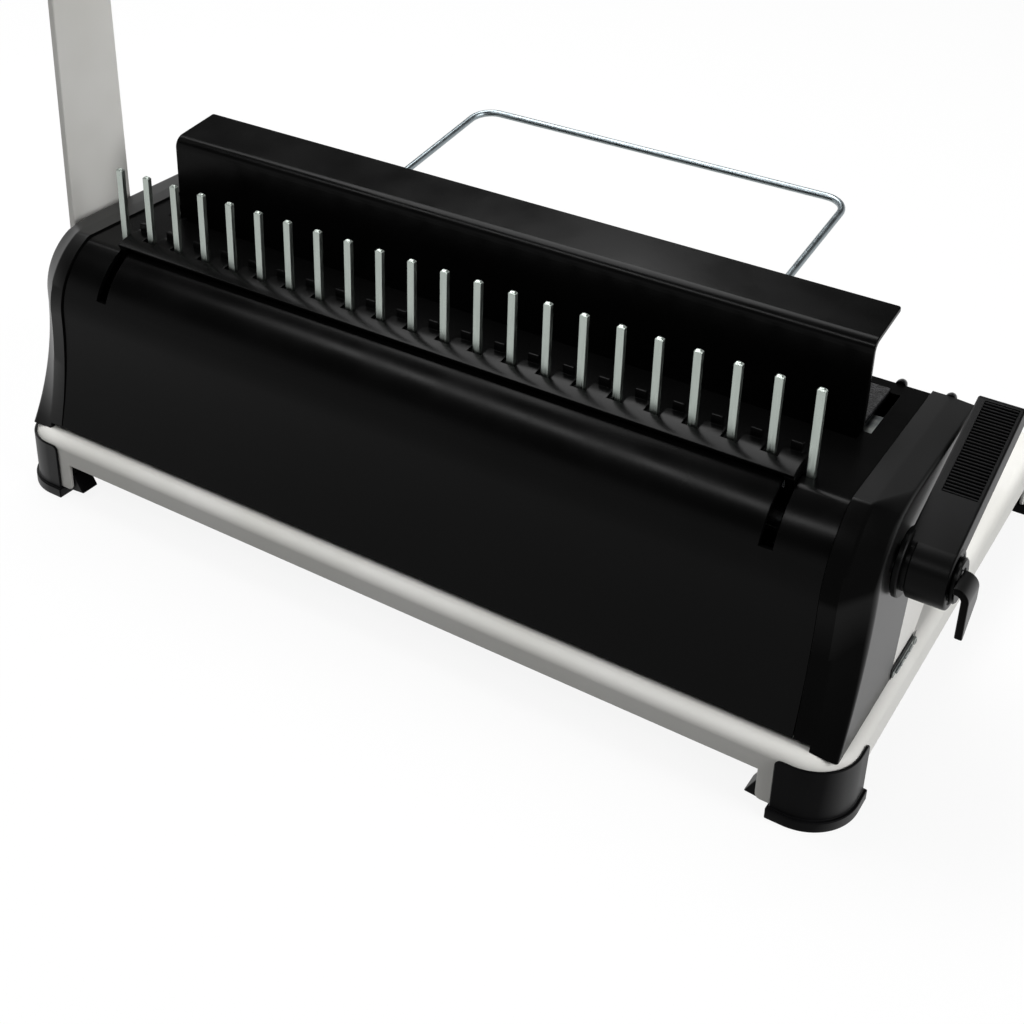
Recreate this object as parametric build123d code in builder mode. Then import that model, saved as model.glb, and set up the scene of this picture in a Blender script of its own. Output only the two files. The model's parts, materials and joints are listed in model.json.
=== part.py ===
"""Manual comb binding machine: punches a row of holes and opens plastic binding combs.

Millimetres. X runs along the machine to the right, Y to the back, Z up.
The Y values below are counted from the rear edge of the top. Each finished piece is moved
so that the origin is the centre of the base on the surface that the machine stands on.
"""

import os
from math import cos, radians, sin, tan

from build123d import *

os.makedirs("parts", exist_ok=True)

# Pins and punches, whose pitch sets the machine's length
pitch = 14.2875
pin_count = 22
punch_count = pin_count - 1

# Base tray and feet
base_ledge = 3.5
base_front = -108.8
base_rear = 134.0
base_corner = 17.0
base_edge_radius = 4.5
base_sheet = 1.5
deck_z = 28.0
front_skirt_z = 17.0
side_skirt_z = 15.0
leg_foot_z = 4.5
leg_length_x = 28.2
leg_length_y = 25.5
leg_corner = 2.0
foot_wall = 1.2
foot_lip = 1.2
foot_lip_overrun = 0.8
foot_top_z = 25.0
foot_corner = 2.5
foot_length_x = 22.5
foot_length_y = 23.8
foot_gap = 0.1
gusset_reach = 4.6
gusset_foot_z = 2.5
gusset_top_z = 11.5

# Covers
cover_wall = 2.0
pin_row_margin = 15.6
cover_gap = 0.4
cut_margin = 1.0
cover_foot_z = 30.3
top_z = 109.0
rear_y = 0.5
crease_y = -76.5
front_y = -95.5
roll_z = 80.0
flare_y = -103.0
rear_lip_z = 95.0
rear_lap = 4.0
rear_flange = 4.8
end_cover_rise = 0.8
end_band = 6.4
end_fall = 10.0
end_side_wall = 2.5
shaft_hole_gap = 1.0
rim_top_z = 109.1
rim_crease_y = -66.0
rim_front_y = -88.2
rim_roll_z = 85.0
rim_flare_y = -104.4
rim_rear_y = 1.2
rim_radius = 1.2

# Window at the lower rear of each end cover and the light panel in it
window_foot_y = -55.5
window_top_y = -49.3
window_top_z = 58.8
panel_gap = 0.8
panel_sheet = 1.5
panel_rear_foot_y = -33.0
panel_rear_top_y = -3.0
panel_inset = 0.5

# Side frames
frame_sheet = 3.0
frame_flange = 12.0
frame_front_y = -84.0
frame_rear_y = -6.0
frame_top_z = 104.0

# Comb pins and hook plate
pin_y = -71.5
pin_width = 3.0
pin_depth = 2.2
pin_top_z = 142.0
pin_chamfer = 0.6
pin_hole_gap = 0.3
pin_bar_front = -75.2
pin_bar_rear = -60.0
pin_bar_height = 3.5

comb_axis_y = -69.0
comb_axis_z = 87.5
comb_shaft_r = 5.0
hook_inner_r = 24.8
hook_sheet = 1.8
hook_rear_angle = -4.8
hook_strip_angle = 10.5
hook_front_angle = 23.3
hook_finger_width = 8.3
hook_tooth_height = 3.4
hook_tooth_angle = 3.6
hook_arm_sheet = 3.5
hook_arm_hub_r = 9.0
hook_arm_slot_gap = 0.8
hook_slot_margin_angle = 2.0
comb_travel = 55.0

# Comb lever
collar_r = 12.0
collar_thickness = 2.2
collar_gap = 0.8
lever_hub_r = 10.6
lever_hub_length = 15.2
lever_arm_drop = 0.1
lever_end_corner = 2.0
lever_width = 15.0
lever_rise = 18.0
lever_reach = 69.4
lever_thickness = 8.5
rib_count = 30
rib_pitch = 1.43
rib_width = 0.75
rib_depth = 0.5
rib_side_margin = 1.5
rib_end_margin = 2.7
hub_disc_r = 7.7
hub_disc_thickness = 1.9
tab_gap = 0.1
tab_sheet = 2.6
tab_bend_r = 4.4
tab_width = 11.5
tab_reach = 5.5
tab_front_offset = -11.0
tab_top_z = 92.0
tab_foot_z = 73.6
tab_slant_z = 83.0
tab_toe = 1.1

# Punch drive
drive_axis_y = -48.7
drive_axis_z = 66.0
drive_shaft_r = 6.0
crank_radius = 10.0
crank_hub_r = 10.0
crank_eye_r = 6.0
crank_sheet = 4.5
crank_gap = 4.0
crank_pin_r = 2.5
crank_pin_end = 1.0
sleeve_r = 3.6
sleeve_gap = 0.35
handle_travel = 50.0
yoke_gap = 1.5
yoke_sheet = 4.0
prong = 3.0
running_gap = 0.05

# Punch head and throat
punch_width = 8.0
punch_height = 3.0
punch_z = 41.0
throat_rear_y = -35.5
neck = 3.3
guide_depth = 12.0
bar_foot_z = 34.0
bar_top_z = 48.0
die_depth = 10.0
punch_rest_gap = 1.5
punch_bar_depth = 8.0
punch_bar_gap = 0.9
punch_bar_lift = 1.0
die_bar_drop = 2.0
throat_margin = 4.0
mouth = 7.0
guide_sheet = 1.2
edge_margin = 4.6
side_stop_width = 2.0
side_stop_gap = 1.0

# Paper plate
plate_inset = 11.6
plate_sheet = 2.0
plate_top_z = 142.2
plate_bend_r = 5.0
plate_flange_reach = 24.5
plate_corner = 1.0
plate_flange_rise = 8.0
cutout_reach = 3.3
cutout_front_y = -36.5
cutout_rear_y = -7.0
insert_front_y = -31.0
insert_rear_y = -4.5
insert_sheet = 1.2
insert_proud = 0.3
insert_inset = 1.0
insert_gap = 0.2
bracket_reach = 26.0
bracket_sheet = 2.0
bracket_foot_z = 80.0
bracket_depth = 14.0
bracket_top_z = 106.0

# Handle
handle_gap = 4.5
handle_sheet = 3.5
handle_width = 34.4
handle_top_width = 28.5
handle_top_z = 318.0
grip_length = 104.0
grip_width = 42.0
grip_depth = 28.0
grip_overhang = 12.0
grip_corner = 10.0
grip_top_radius = 6.0
grip_foot_radius = 3.0
spacer_wall = 2.2
spacer_gap = 0.3
handle_nut_r = 8.0
handle_nut_height = 5.0
handle_nut_edge = 0.8

# Wire rest
wire_r = 1.6
wire_half_width = 92.0
wire_pivot_y = 6.0
wire_pivot_z = 109.0
wire_rear_y = 107.5
wire_slope = 8.4
wire_corner = 10.0
wire_ear = 15.0
clip_width = 9.0
clip_wall = 3.0
clip_drop = 12.0

# Chip tray
tray_half_width = 30.0
tray_centre_y = -1.0
tray_left_inset = 35.5
tray_right_inset = 18.5
tray_lip_inset = 10.5
tray_floor_z = 5.5
tray_top_z = 14.2
tray_wall = 1.5
tray_flange = 4.0
rail_sheet = 1.5
rail_gap = 0.3
chip_slot_front = -24.5
chip_slot_rear = -6.0
chute_sheet = 1.5
chute_lip = 8.0

# Springs and small parts
spring_x = 100.0
spring_coil_r = 3.5
spring_wire_r = 0.5
spring_turns = 6
spring_bar_rear = -80.0
spring_bar_height = 10.0
screw_head_r = 3.4
screw_head_height = 3.5
rear_screw_inset = 10.9
rear_screw_offset = 0.5
rear_screw_z = 107.0
bush_wall = 3.0
bush_flange = 1.5
catch_length = 23.5
catch_height = 3.0
catch_sheet = 1.5
catch_gap = 0.1
catch_centre_y = -43.2

# Sizes that follow from the ones above
cover_half_length = (pin_count - 1) / 2 * pitch + pin_row_margin
end_cover_step_x = cover_half_length + end_band
end_cover_x = end_cover_step_x + end_fall
frame_inner_x = end_cover_step_x
base_half_width = end_cover_x + base_ledge
base_centre_y = (base_front + base_rear) / 2
leg_x = base_half_width - leg_length_x
foot_start_x = base_half_width - foot_length_x
hook_half_length = (punch_count - 1) / 2 * pitch + hook_finger_width / 2
lever_inner_x = end_cover_x + collar_gap + collar_thickness
lever_outer_x = lever_inner_x + lever_hub_length
handle_inner_x = end_cover_x + handle_gap
crank_inner_x = frame_inner_x - crank_gap - crank_sheet
yoke_inner_x = crank_inner_x - yoke_gap - yoke_sheet
plate_half_length = cover_half_length - plate_inset
cutout_outer_x = plate_half_length + cutout_reach
bracket_inner_x = plate_half_length - bracket_reach
throat_half = plate_half_length - throat_margin
tray_left_x = tray_left_inset - base_half_width
tray_right_x = base_half_width - tray_right_inset
tray_lip_x = base_half_width - tray_lip_inset
rear_screw_x = (cover_half_length - rear_screw_inset, end_cover_step_x + rear_screw_offset)
inner_top_z = top_z - cover_wall
frame_outer_x = frame_inner_x + frame_sheet
pin_bar_top_z = inner_top_z
pin_bar_foot_z = pin_bar_top_z - pin_bar_height
pin_places = [(i - (pin_count - 1) / 2) * pitch for i in range(pin_count)]
punch_places = [(i - (punch_count - 1) / 2) * pitch for i in range(punch_count)]
guide_rear_y = throat_rear_y - neck
guide_front_y = guide_rear_y - guide_depth
die_rear_y = throat_rear_y + die_depth
stroke = 2 * crank_radius * sin(radians(handle_travel / 2))
punch_bar_rear = guide_front_y - stroke - punch_bar_gap
punch_bar_front = punch_bar_rear - punch_bar_depth
punch_bar_foot_z = bar_foot_z + punch_bar_lift
punch_tip_y = guide_rear_y - punch_rest_gap
crank_rest_y = drive_axis_y - crank_radius * sin(radians(handle_travel / 2))
crank_rest_z = drive_axis_z - crank_radius * cos(radians(handle_travel / 2))
hook_outer_r = hook_inner_r + hook_sheet
hook_arm_x = hook_half_length - hook_arm_sheet
yoke_outer_x = yoke_inner_x + yoke_sheet
plate_rear_y = throat_rear_y + plate_sheet
insert_half_length = plate_half_length - insert_inset
mouth_front = throat_rear_y - mouth


def finish(piece, name):
    """Move a piece from the drawing's Y zero to the centre of the base and write it."""
    placed = Pos(0, -base_centre_y, 0) * piece.part
    placed.label = name
    export_step(placed, f"parts/{name}.step")


def side_outline(top, crease, front, roll, flare, rear, foot):
    """Cross-section of a cover, in a plane whose first axis is Y and second is Z."""
    with BuildLine() as outline:
        Polyline((crease, top), (rear, top), (rear, foot), (flare, foot))
        TangentArc((front, roll), (crease, top), tangent=(0, 1))
        TangentArc((front, roll), (flare, foot), tangent=(0, -1))
    return outline


def place_side(piece, name, right):
    """Write a piece made for the right side, or its mirror image for the left side."""
    if right:
        finish(piece, name)
        return
    with BuildPart() as mirrored:
        add(mirror(piece.part, about=Plane.YZ))
    finish(mirrored, name)


def main_outline(inset=0.0, foot=deck_z):
    return side_outline(top_z - inset, crease_y + inset / 2, front_y + inset, roll_z,
                        flare_y + inset, rear_y - inset, foot)


def rim_outline(inset=0.0, foot=deck_z):
    return side_outline(rim_top_z - inset, rim_crease_y + inset / 2, rim_front_y + inset,
                        rim_roll_z, rim_flare_y + inset, rim_rear_y - inset, foot)


def cross_plane(x):
    """A plane across the machine at x: its X axis is the machine's Y, its Y axis is Z."""
    return Plane(origin=(x, 0, 0), x_dir=(0, 1, 0), z_dir=(1, 0, 0))


def swing(radius, angle):
    """A point at a radius from the comb shaft, angle degrees forward of straight up."""
    return (comb_axis_y - radius * sin(radians(angle)), comb_axis_z + radius * cos(radians(angle)))


def swing_band(inner_r, outer_r, first, last):
    """A band of a ring round the comb shaft between two angles forward of straight up."""
    middle = (first + last) / 2
    with BuildLine() as band:
        outer = ThreePointArc(swing(outer_r, first), swing(outer_r, middle), swing(outer_r, last))
        inner = ThreePointArc(swing(inner_r, first), swing(inner_r, middle), swing(inner_r, last))
        Line(outer @ 0, inner @ 0)
        Line(outer @ 1, inner @ 1)
    return band


# Base tray: pressed sheet with a rounded edge, a shallow skirt and four deep corner legs
base_width = 2 * base_half_width
base_depth = base_rear - base_front
with BuildPart() as base_hollow:
    with BuildSketch(Plane.XY.offset(leg_foot_z - cut_margin)):
        with Locations((0, base_centre_y)):
            RectangleRounded(base_width - 2 * base_sheet, base_depth - 2 * base_sheet,
                             base_corner - base_sheet)
    extrude(amount=deck_z - base_sheet - leg_foot_z + cut_margin)
    fillet(base_hollow.edges().group_by(Axis.Z)[-1], base_edge_radius - base_sheet)

with BuildPart() as base_tray:
    with BuildSketch(Plane.XY.offset(leg_foot_z)):
        with Locations((0, base_centre_y)):
            RectangleRounded(base_width, base_depth, base_corner)
    extrude(amount=deck_z - leg_foot_z)
    fillet(base_tray.edges().group_by(Axis.Z)[-1], base_edge_radius)
    add(base_hollow.part, mode=Mode.SUBTRACT)
    with BuildSketch(Plane.XY.offset(leg_foot_z - cut_margin)):
        with Locations((0, base_centre_y)):
            Rectangle(2 * leg_x, base_depth + 2 * cut_margin)
    extrude(amount=front_skirt_z - leg_foot_z + cut_margin, mode=Mode.SUBTRACT)
    with BuildSketch(Plane.XY.offset(leg_foot_z - cut_margin)):
        with Locations((0, base_centre_y)):
            Rectangle(base_width + 2 * cut_margin, base_depth - 2 * leg_length_y)
    extrude(amount=side_skirt_z - leg_foot_z + cut_margin, mode=Mode.SUBTRACT)
    for along in (Axis.X, Axis.Y):
        leg_ends = base_tray.edges().filter_by(along).group_by(Axis.Z)[0]
        fillet(leg_ends.filter_by(lambda edge: edge.length < 2 * base_sheet), leg_corner)
    with BuildSketch(Plane.XY.offset(deck_z)):
        with Locations((0, (chip_slot_front + chip_slot_rear) / 2)):
            Rectangle(2 * throat_half, chip_slot_rear - chip_slot_front)
    extrude(amount=-2 * base_sheet, mode=Mode.SUBTRACT)
finish(base_tray, "base_tray")


# Corner feet: a wall round the leg, a lip at the table and a gusset behind the leg
def corner_foot(name, right, front):
    edge_y = base_front if front else base_rear
    inward = 1 if front else -1
    reach = foot_wall + foot_lip
    wall_in = foot_gap

    def corner_zone(overrun):
        """Centre and sides of the rectangle that the foot covers, seen from above."""
        zone_x = base_half_width + reach - foot_start_x + overrun
        zone_y = foot_length_y + reach + overrun
        centre_y = edge_y + inward * (zone_y / 2 - reach)
        return (base_half_width + reach - zone_x / 2, centre_y), zone_x, zone_y

    lip_centre, lip_x, lip_y = corner_zone(foot_lip_overrun)
    wall_centre, wall_x, wall_y = corner_zone(0)
    with BuildPart() as foot:
        with BuildSketch():
            with Locations((0, base_centre_y)):
                RectangleRounded(base_width + 2 * reach, base_depth + 2 * reach,
                                 base_corner + reach)
                offset(amount=-(reach + leg_length_y / 2), mode=Mode.SUBTRACT)
            with Locations(lip_centre):
                Rectangle(lip_x, lip_y, mode=Mode.INTERSECT)
        extrude(amount=leg_foot_z - foot_gap)
        with BuildSketch():
            with Locations((0, base_centre_y)):
                RectangleRounded(base_width + 2 * foot_wall, base_depth + 2 * foot_wall,
                                 base_corner + foot_wall)
                RectangleRounded(base_width + 2 * wall_in, base_depth + 2 * wall_in,
                                 base_corner + wall_in, mode=Mode.SUBTRACT)
            with Locations(wall_centre):
                Rectangle(wall_x, wall_y, mode=Mode.INTERSECT)
        extrude(amount=foot_top_z)
        for along in (Axis.Y, Axis.X):
            wall_tops = foot.edges().filter_by(along).group_by(Axis.Z)[-1]
            fillet(wall_tops.filter_by(lambda edge: edge.length < foot_wall), foot_corner)
        behind_leg = edge_y + inward * (base_sheet + 3 * foot_gap)
        with BuildSketch(Plane.XZ.offset(-behind_leg)):
            with BuildLine():
                Polyline((foot_start_x + foot_lip, gusset_foot_z),
                         (leg_x - gusset_reach, gusset_foot_z + cut_margin),
                         (leg_x, gusset_top_z), (foot_start_x + foot_lip, gusset_top_z), close=True)
            make_face()
        extrude(amount=-inward * leg_length_y / 3)
    place_side(foot, name, right)


corner_foot("foot_front_right", True, True)
corner_foot("foot_front_left", False, True)
corner_foot("foot_rear_right", True, False)
corner_foot("foot_rear_left", False, False)

# Main cover: flat top, big round front and flared foot, open below
with BuildPart() as main_cover:
    with BuildSketch(cross_plane(-cover_half_length)):
        add(main_outline(foot=cover_foot_z).line)
        make_face()
    extrude(amount=2 * cover_half_length)
    with BuildSketch(cross_plane(-cover_half_length - cut_margin)):
        add(main_outline(inset=cover_wall, foot=cover_foot_z - cut_margin).line)
        make_face()
    extrude(amount=2 * (cover_half_length + cut_margin), mode=Mode.SUBTRACT)
    with BuildSketch(Plane.XZ.offset(-rear_y)):
        with Locations((0, (rear_lip_z + cover_foot_z) / 2 - cut_margin)):
            Rectangle(2 * (cover_half_length + cut_margin),
                      rear_lip_z - cover_foot_z + 2 * cut_margin)
    extrude(amount=2 * cover_wall, mode=Mode.SUBTRACT)
    with BuildSketch(Plane.XY.offset(top_z + cut_margin)):
        with Locations(*[(x, pin_y) for x in pin_places]):
            Rectangle(pin_width + 2 * pin_hole_gap, pin_depth + 2 * pin_hole_gap)
        plate_slot_rear = plate_rear_y + pin_hole_gap
        with Locations((0, (mouth_front + plate_slot_rear) / 2)):
            Rectangle(2 * (plate_half_length + pin_hole_gap), plate_slot_rear - mouth_front)
        for side in (-1, 1):
            with Locations((side * (cutout_outer_x + insert_half_length) / 2,
                            (cutout_front_y + cutout_rear_y) / 2)):
                Rectangle(cutout_outer_x - insert_half_length, cutout_rear_y - cutout_front_y)
    extrude(amount=-2 * cover_wall, mode=Mode.SUBTRACT)
    with BuildSketch(Plane.XY.offset(top_z + cut_margin)):
        with Locations((0, (insert_front_y + insert_rear_y) / 2)):
            Rectangle(2 * insert_half_length, insert_rear_y - insert_front_y)
    extrude(amount=-cut_margin - insert_sheet + insert_proud, mode=Mode.SUBTRACT)
    slot_width = hook_arm_sheet + 2 * hook_arm_slot_gap
    slot_band = swing_band(hook_inner_r - 3 * cover_wall, hook_outer_r,
                           hook_rear_angle - hook_slot_margin_angle,
                           hook_front_angle + comb_travel + hook_slot_margin_angle)
    for side in (-1, 1):
        slot_centre = side * (hook_half_length - hook_arm_sheet / 2)
        with BuildSketch(cross_plane(slot_centre - slot_width / 2)):
            add(slot_band.line)
            make_face()
        extrude(amount=slot_width, mode=Mode.SUBTRACT)
finish(main_cover, "main_cover")


# End covers: a raised band beside the main cover, then a band that falls to the outer rim
def rim_hollow_outline(x, foot):
    """The inner outline of an end cover at x, between the step and the side wall."""
    share = (x - end_cover_step_x) / (end_cover_x - end_cover_step_x)
    wall = cover_wall

    def between(near, far):
        return near + (far - near) * share

    return side_outline(between(top_z + end_cover_rise, rim_top_z) - wall,
                        between(crease_y, rim_crease_y) + wall / 2,
                        between(front_y - end_cover_rise, rim_front_y) + wall,
                        between(roll_z, rim_roll_z),
                        between(flare_y - end_cover_rise, rim_flare_y) + wall,
                        between(rear_y + end_cover_rise, rim_rear_y) - wall, foot)


def end_cover(name, right, hole_y, hole_z, hole_r):
    band_start = cover_half_length + cover_gap
    side_wall_x = end_cover_x - end_side_wall
    with BuildPart() as cover:
        with BuildSketch(cross_plane(band_start)):
            add(main_outline(inset=-end_cover_rise).line)
            make_face()
        extrude(amount=end_cover_step_x - band_start)
        with BuildSketch(cross_plane(end_cover_step_x)):
            add(main_outline(inset=-end_cover_rise).line)
            make_face()
        with BuildSketch(cross_plane(end_cover_x)):
            add(rim_outline().line)
            make_face()
        loft(ruled=True)
        rim = cover.faces().sort_by(Axis.X)[-1].edges().sort_by(Axis.Z)[1:]
        fillet(rim, rim_radius)
        with BuildSketch(cross_plane(band_start - cut_margin)):
            add(rim_hollow_outline(end_cover_step_x, deck_z - cut_margin).line)
            make_face()
        extrude(amount=end_cover_step_x - band_start + cut_margin, mode=Mode.SUBTRACT)
        with BuildSketch(cross_plane(end_cover_step_x)):
            add(rim_hollow_outline(end_cover_step_x, deck_z - cut_margin).line)
            make_face()
        with BuildSketch(cross_plane(side_wall_x)):
            add(rim_hollow_outline(side_wall_x, deck_z - cut_margin).line)
            make_face()
        loft(ruled=True, mode=Mode.SUBTRACT)
        with BuildSketch(cross_plane(band_start - cut_margin)):
            with Locations(((flare_y + rear_y) / 2, (deck_z - cut_margin + cover_foot_z) / 2)):
                Rectangle(2 * (rear_y - flare_y), cover_foot_z - deck_z + cut_margin)
        extrude(amount=end_cover_step_x - band_start + cut_margin, mode=Mode.SUBTRACT)
        with BuildSketch(cross_plane(side_wall_x - cut_margin)):
            with BuildLine():
                Polyline((window_foot_y, deck_z), (window_top_y, window_top_z),
                         (rear_y + cover_wall, window_top_z), (rear_y + cover_wall, deck_z - cut_margin),
                         (window_foot_y, deck_z - cut_margin), close=True)
            make_face()
            with Locations((hole_y, hole_z)):
                Circle(hole_r)
        extrude(amount=end_side_wall + 2 * cut_margin, mode=Mode.SUBTRACT)
    place_side(cover, name, right)


end_cover("right_end_cover", True, comb_axis_y, comb_axis_z, comb_shaft_r + shaft_hole_gap)
end_cover("left_end_cover", False, drive_axis_y, drive_axis_z, drive_shaft_r + shaft_hole_gap)


# Side frames: steel plates that carry the shafts and bars, on a flange at the deck
def side_frame(name, right):
    with BuildPart() as frame_plate:
        with BuildSketch(cross_plane(frame_inner_x)):
            with BuildLine():
                Polyline((frame_front_y, deck_z), (frame_front_y, comb_axis_z),
                         (comb_axis_y - bush_wall, frame_top_z), (frame_rear_y, frame_top_z),
                         (frame_rear_y, deck_z), close=True)
            make_face()
            with Locations((comb_axis_y, comb_axis_z)):
                Circle(comb_shaft_r + bush_wall, mode=Mode.SUBTRACT)
            with Locations((drive_axis_y, drive_axis_z)):
                Circle(drive_shaft_r + bush_wall, mode=Mode.SUBTRACT)
        extrude(amount=frame_sheet)
        flange_width = frame_flange - frame_sheet
        with BuildSketch(Plane.XY.offset(deck_z)):
            for y in (frame_front_y + frame_flange, frame_rear_y - frame_flange):
                with Locations((frame_inner_x - flange_width / 2, y)):
                    Rectangle(flange_width, frame_flange)
                    Circle(screw_head_r / 2, mode=Mode.SUBTRACT)
        extrude(amount=frame_sheet)
    place_side(frame_plate, name, right)


side_frame("side_frame_right", True)
side_frame("side_frame_left", False)


# Light side panels in the lower rear windows of the end covers, on a foot at the deck
def side_panel(name, right):
    outer_x = end_cover_x - panel_inset
    with BuildPart() as panel:
        with BuildSketch(cross_plane(outer_x - panel_sheet)):
            with BuildLine():
                Polyline((window_foot_y + panel_gap, deck_z),
                         (window_top_y + panel_gap, window_top_z - panel_gap),
                         (panel_rear_top_y, window_top_z - panel_gap),
                         (panel_rear_foot_y, deck_z), close=True)
            make_face()
        extrude(amount=panel_sheet)
        foot_y = (window_foot_y + panel_rear_foot_y) / 2
        foot_depth = panel_rear_foot_y - window_foot_y - 3 * panel_gap
        with BuildSketch(Plane.XY.offset(deck_z)):
            with Locations((frame_outer_x / 2 + (outer_x - panel_sheet) / 2, foot_y)):
                Rectangle(outer_x - panel_sheet - frame_outer_x, foot_depth)
        extrude(amount=panel_sheet)
    place_side(panel, name, right)


side_panel("side_panel_right", True)
side_panel("side_panel_left", False)

# Rear cover: a plate between the deck and the lip of the main cover, with a joggled top edge
with BuildPart() as rear_cover:
    with BuildSketch(cross_plane(-cover_half_length)):
        with BuildLine():
            plate_front = rear_y - cover_wall
            lip_front = plate_front - running_gap - cover_wall
            plate_top = rear_lip_z - 2 * panel_inset
            Polyline((rear_y, deck_z), (rear_y, plate_top), (plate_front - running_gap, plate_top),
                     (plate_front - running_gap, rear_lip_z + rear_lap),
                     (lip_front, rear_lip_z + rear_lap), (lip_front, rear_lip_z - rear_lap),
                     (plate_front, rear_lip_z - 2 * rear_lap), (plate_front, deck_z + base_sheet),
                     (rear_y - rear_flange, deck_z + base_sheet), (rear_y - rear_flange, deck_z),
                     close=True)
        make_face()
    extrude(amount=2 * cover_half_length)
finish(rear_cover, "rear_cover")


# Comb pins and the bar that holds them under the top
with BuildPart() as comb_pins:
    with BuildSketch(Plane.XY.offset(pin_bar_foot_z)):
        with Locations(*[(x, pin_y) for x in pin_places]):
            Rectangle(pin_width, pin_depth)
    extrude(amount=pin_top_z - pin_bar_foot_z)
    chamfer(comb_pins.edges().group_by(Axis.Z)[-1], pin_chamfer)
finish(comb_pins, "comb_pins")

with BuildPart() as pin_bar:
    with BuildSketch(Plane.XY.offset(pin_bar_foot_z)):
        with Locations((0, (pin_bar_front + pin_bar_rear) / 2)):
            Rectangle(2 * frame_inner_x, pin_bar_rear - pin_bar_front)
        with Locations(*[(x, pin_y) for x in pin_places]):
            Rectangle(pin_width, pin_depth, mode=Mode.SUBTRACT)
        notch_rear = comb_axis_y + bush_wall
        notch_width = hook_arm_sheet + 2 * hook_arm_slot_gap
        for side in (-1, 1):
            notch_x = side * (hook_half_length - hook_arm_sheet / 2)
            with Locations((notch_x, (pin_bar_front - cut_margin + notch_rear) / 2)):
                Rectangle(notch_width, notch_rear - pin_bar_front + cut_margin,
                          mode=Mode.SUBTRACT)
    extrude(amount=pin_bar_height)
finish(pin_bar, "pin_bar")

# Comb shaft with its bushes
with BuildPart() as comb_shaft:
    with BuildSketch(cross_plane(-frame_outer_x)):
        with Locations((comb_axis_y, comb_axis_z)):
            Circle(comb_shaft_r)
    extrude(amount=frame_outer_x + lever_outer_x - hub_disc_thickness)
finish(comb_shaft, "comb_shaft")


def bushes(name, axis_y, axis_z, shaft_r):
    """A flanged bush for a shaft in each side frame."""
    bore_r = shaft_r + running_gap
    with BuildPart() as pair:
        for side in (-1, 1):
            with BuildSketch(cross_plane(side * frame_inner_x)):
                with Locations((axis_y, axis_z)):
                    Circle(shaft_r + bush_wall)
                    Circle(bore_r, mode=Mode.SUBTRACT)
            extrude(amount=side * frame_sheet)
            with BuildSketch(cross_plane(side * (frame_inner_x - bush_flange))):
                with Locations((axis_y, axis_z)):
                    Circle(shaft_r + bush_wall + bush_flange)
                    Circle(bore_r, mode=Mode.SUBTRACT)
            extrude(amount=side * bush_flange)
    finish(pair, name)


bushes("comb_bushes", comb_axis_y, comb_axis_z, comb_shaft_r)
bushes("drive_bushes", drive_axis_y, drive_axis_z, drive_shaft_r)


# Hook plate: a curved strip over the front roll with fingers between the pins
strip_band = swing_band(hook_inner_r, hook_outer_r, hook_strip_angle, hook_front_angle)
finger_band = swing_band(hook_inner_r, hook_outer_r, hook_rear_angle, hook_strip_angle)
tooth_band = swing_band(hook_outer_r, hook_outer_r + hook_tooth_height, hook_rear_angle,
                        hook_rear_angle + hook_tooth_angle)
with BuildPart() as hook_plate:
    with BuildSketch(cross_plane(-hook_half_length)):
        add(strip_band.line)
        make_face()
    extrude(amount=2 * hook_half_length)
    for x in punch_places:
        with BuildSketch(cross_plane(x - hook_finger_width / 2)):
            add(finger_band.line)
            make_face()
        extrude(amount=hook_finger_width)
        with BuildSketch(cross_plane(x - hook_finger_width / 4)):
            add(tooth_band.line)
            make_face()
        extrude(amount=hook_finger_width / 2)
finish(hook_plate, "hook_plate")

# Arms that carry the hook plate on the comb shaft
arm_band = swing_band(comb_shaft_r + bush_flange, hook_inner_r, hook_rear_angle, hook_front_angle)
with BuildPart() as hook_arms:
    for x in (-hook_half_length, hook_arm_x):
        with BuildSketch(cross_plane(x)):
            add(arm_band.line)
            make_face()
            with Locations((comb_axis_y, comb_axis_z)):
                Circle(hook_arm_hub_r)
                Circle(comb_shaft_r, mode=Mode.SUBTRACT)
        extrude(amount=hook_arm_sheet)
finish(hook_arms, "hook_arms")

# Comb lever: hub, collar and a ribbed arm that rises to the back
lever_plane = Plane(origin=(lever_inner_x, comb_axis_y, comb_axis_z),
                    x_dir=(0, cos(radians(lever_rise)), sin(radians(lever_rise))),
                    z_dir=(1, 0, 0))
lever_arm_top = lever_hub_r - lever_arm_drop
with BuildPart() as comb_lever:
    with BuildSketch(lever_plane):
        Circle(lever_hub_r)
    extrude(amount=lever_outer_x - lever_inner_x)
    with BuildSketch(lever_plane):
        with BuildLine():
            Polyline((0, lever_arm_top), (lever_reach, lever_arm_top),
                     (lever_reach, lever_arm_top - lever_thickness),
                     (0, lever_arm_top - lever_thickness - lever_arm_drop), close=True)
        make_face()
    extrude(amount=lever_width)
    fillet(comb_lever.edges().filter_by(Axis.X).sort_by(Axis.Y)[-2:], lever_end_corner)
    rib_start = lever_reach - rib_end_margin - (rib_count - 0.5) * rib_pitch
    top_of_arm = Plane(origin=lever_plane.from_local_coords((0, lever_arm_top, 0)),
                       x_dir=lever_plane.x_dir,
                       z_dir=lever_plane.y_dir)
    with BuildSketch(top_of_arm):
        for i in range(rib_count):
            with Locations((rib_start + i * rib_pitch, -lever_width / 2)):
                Rectangle(rib_pitch - rib_width, lever_width - 2 * rib_side_margin)
    extrude(amount=-rib_depth, mode=Mode.SUBTRACT)
    with BuildSketch(lever_plane):
        Circle(collar_r)
    extrude(amount=-collar_thickness)
    with BuildSketch(lever_plane.offset(-collar_thickness - cut_margin)):
        Circle(comb_shaft_r)
    extrude(amount=lever_hub_length + collar_thickness + 2 * cut_margin, mode=Mode.SUBTRACT)
finish(comb_lever, "comb_lever")

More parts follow.
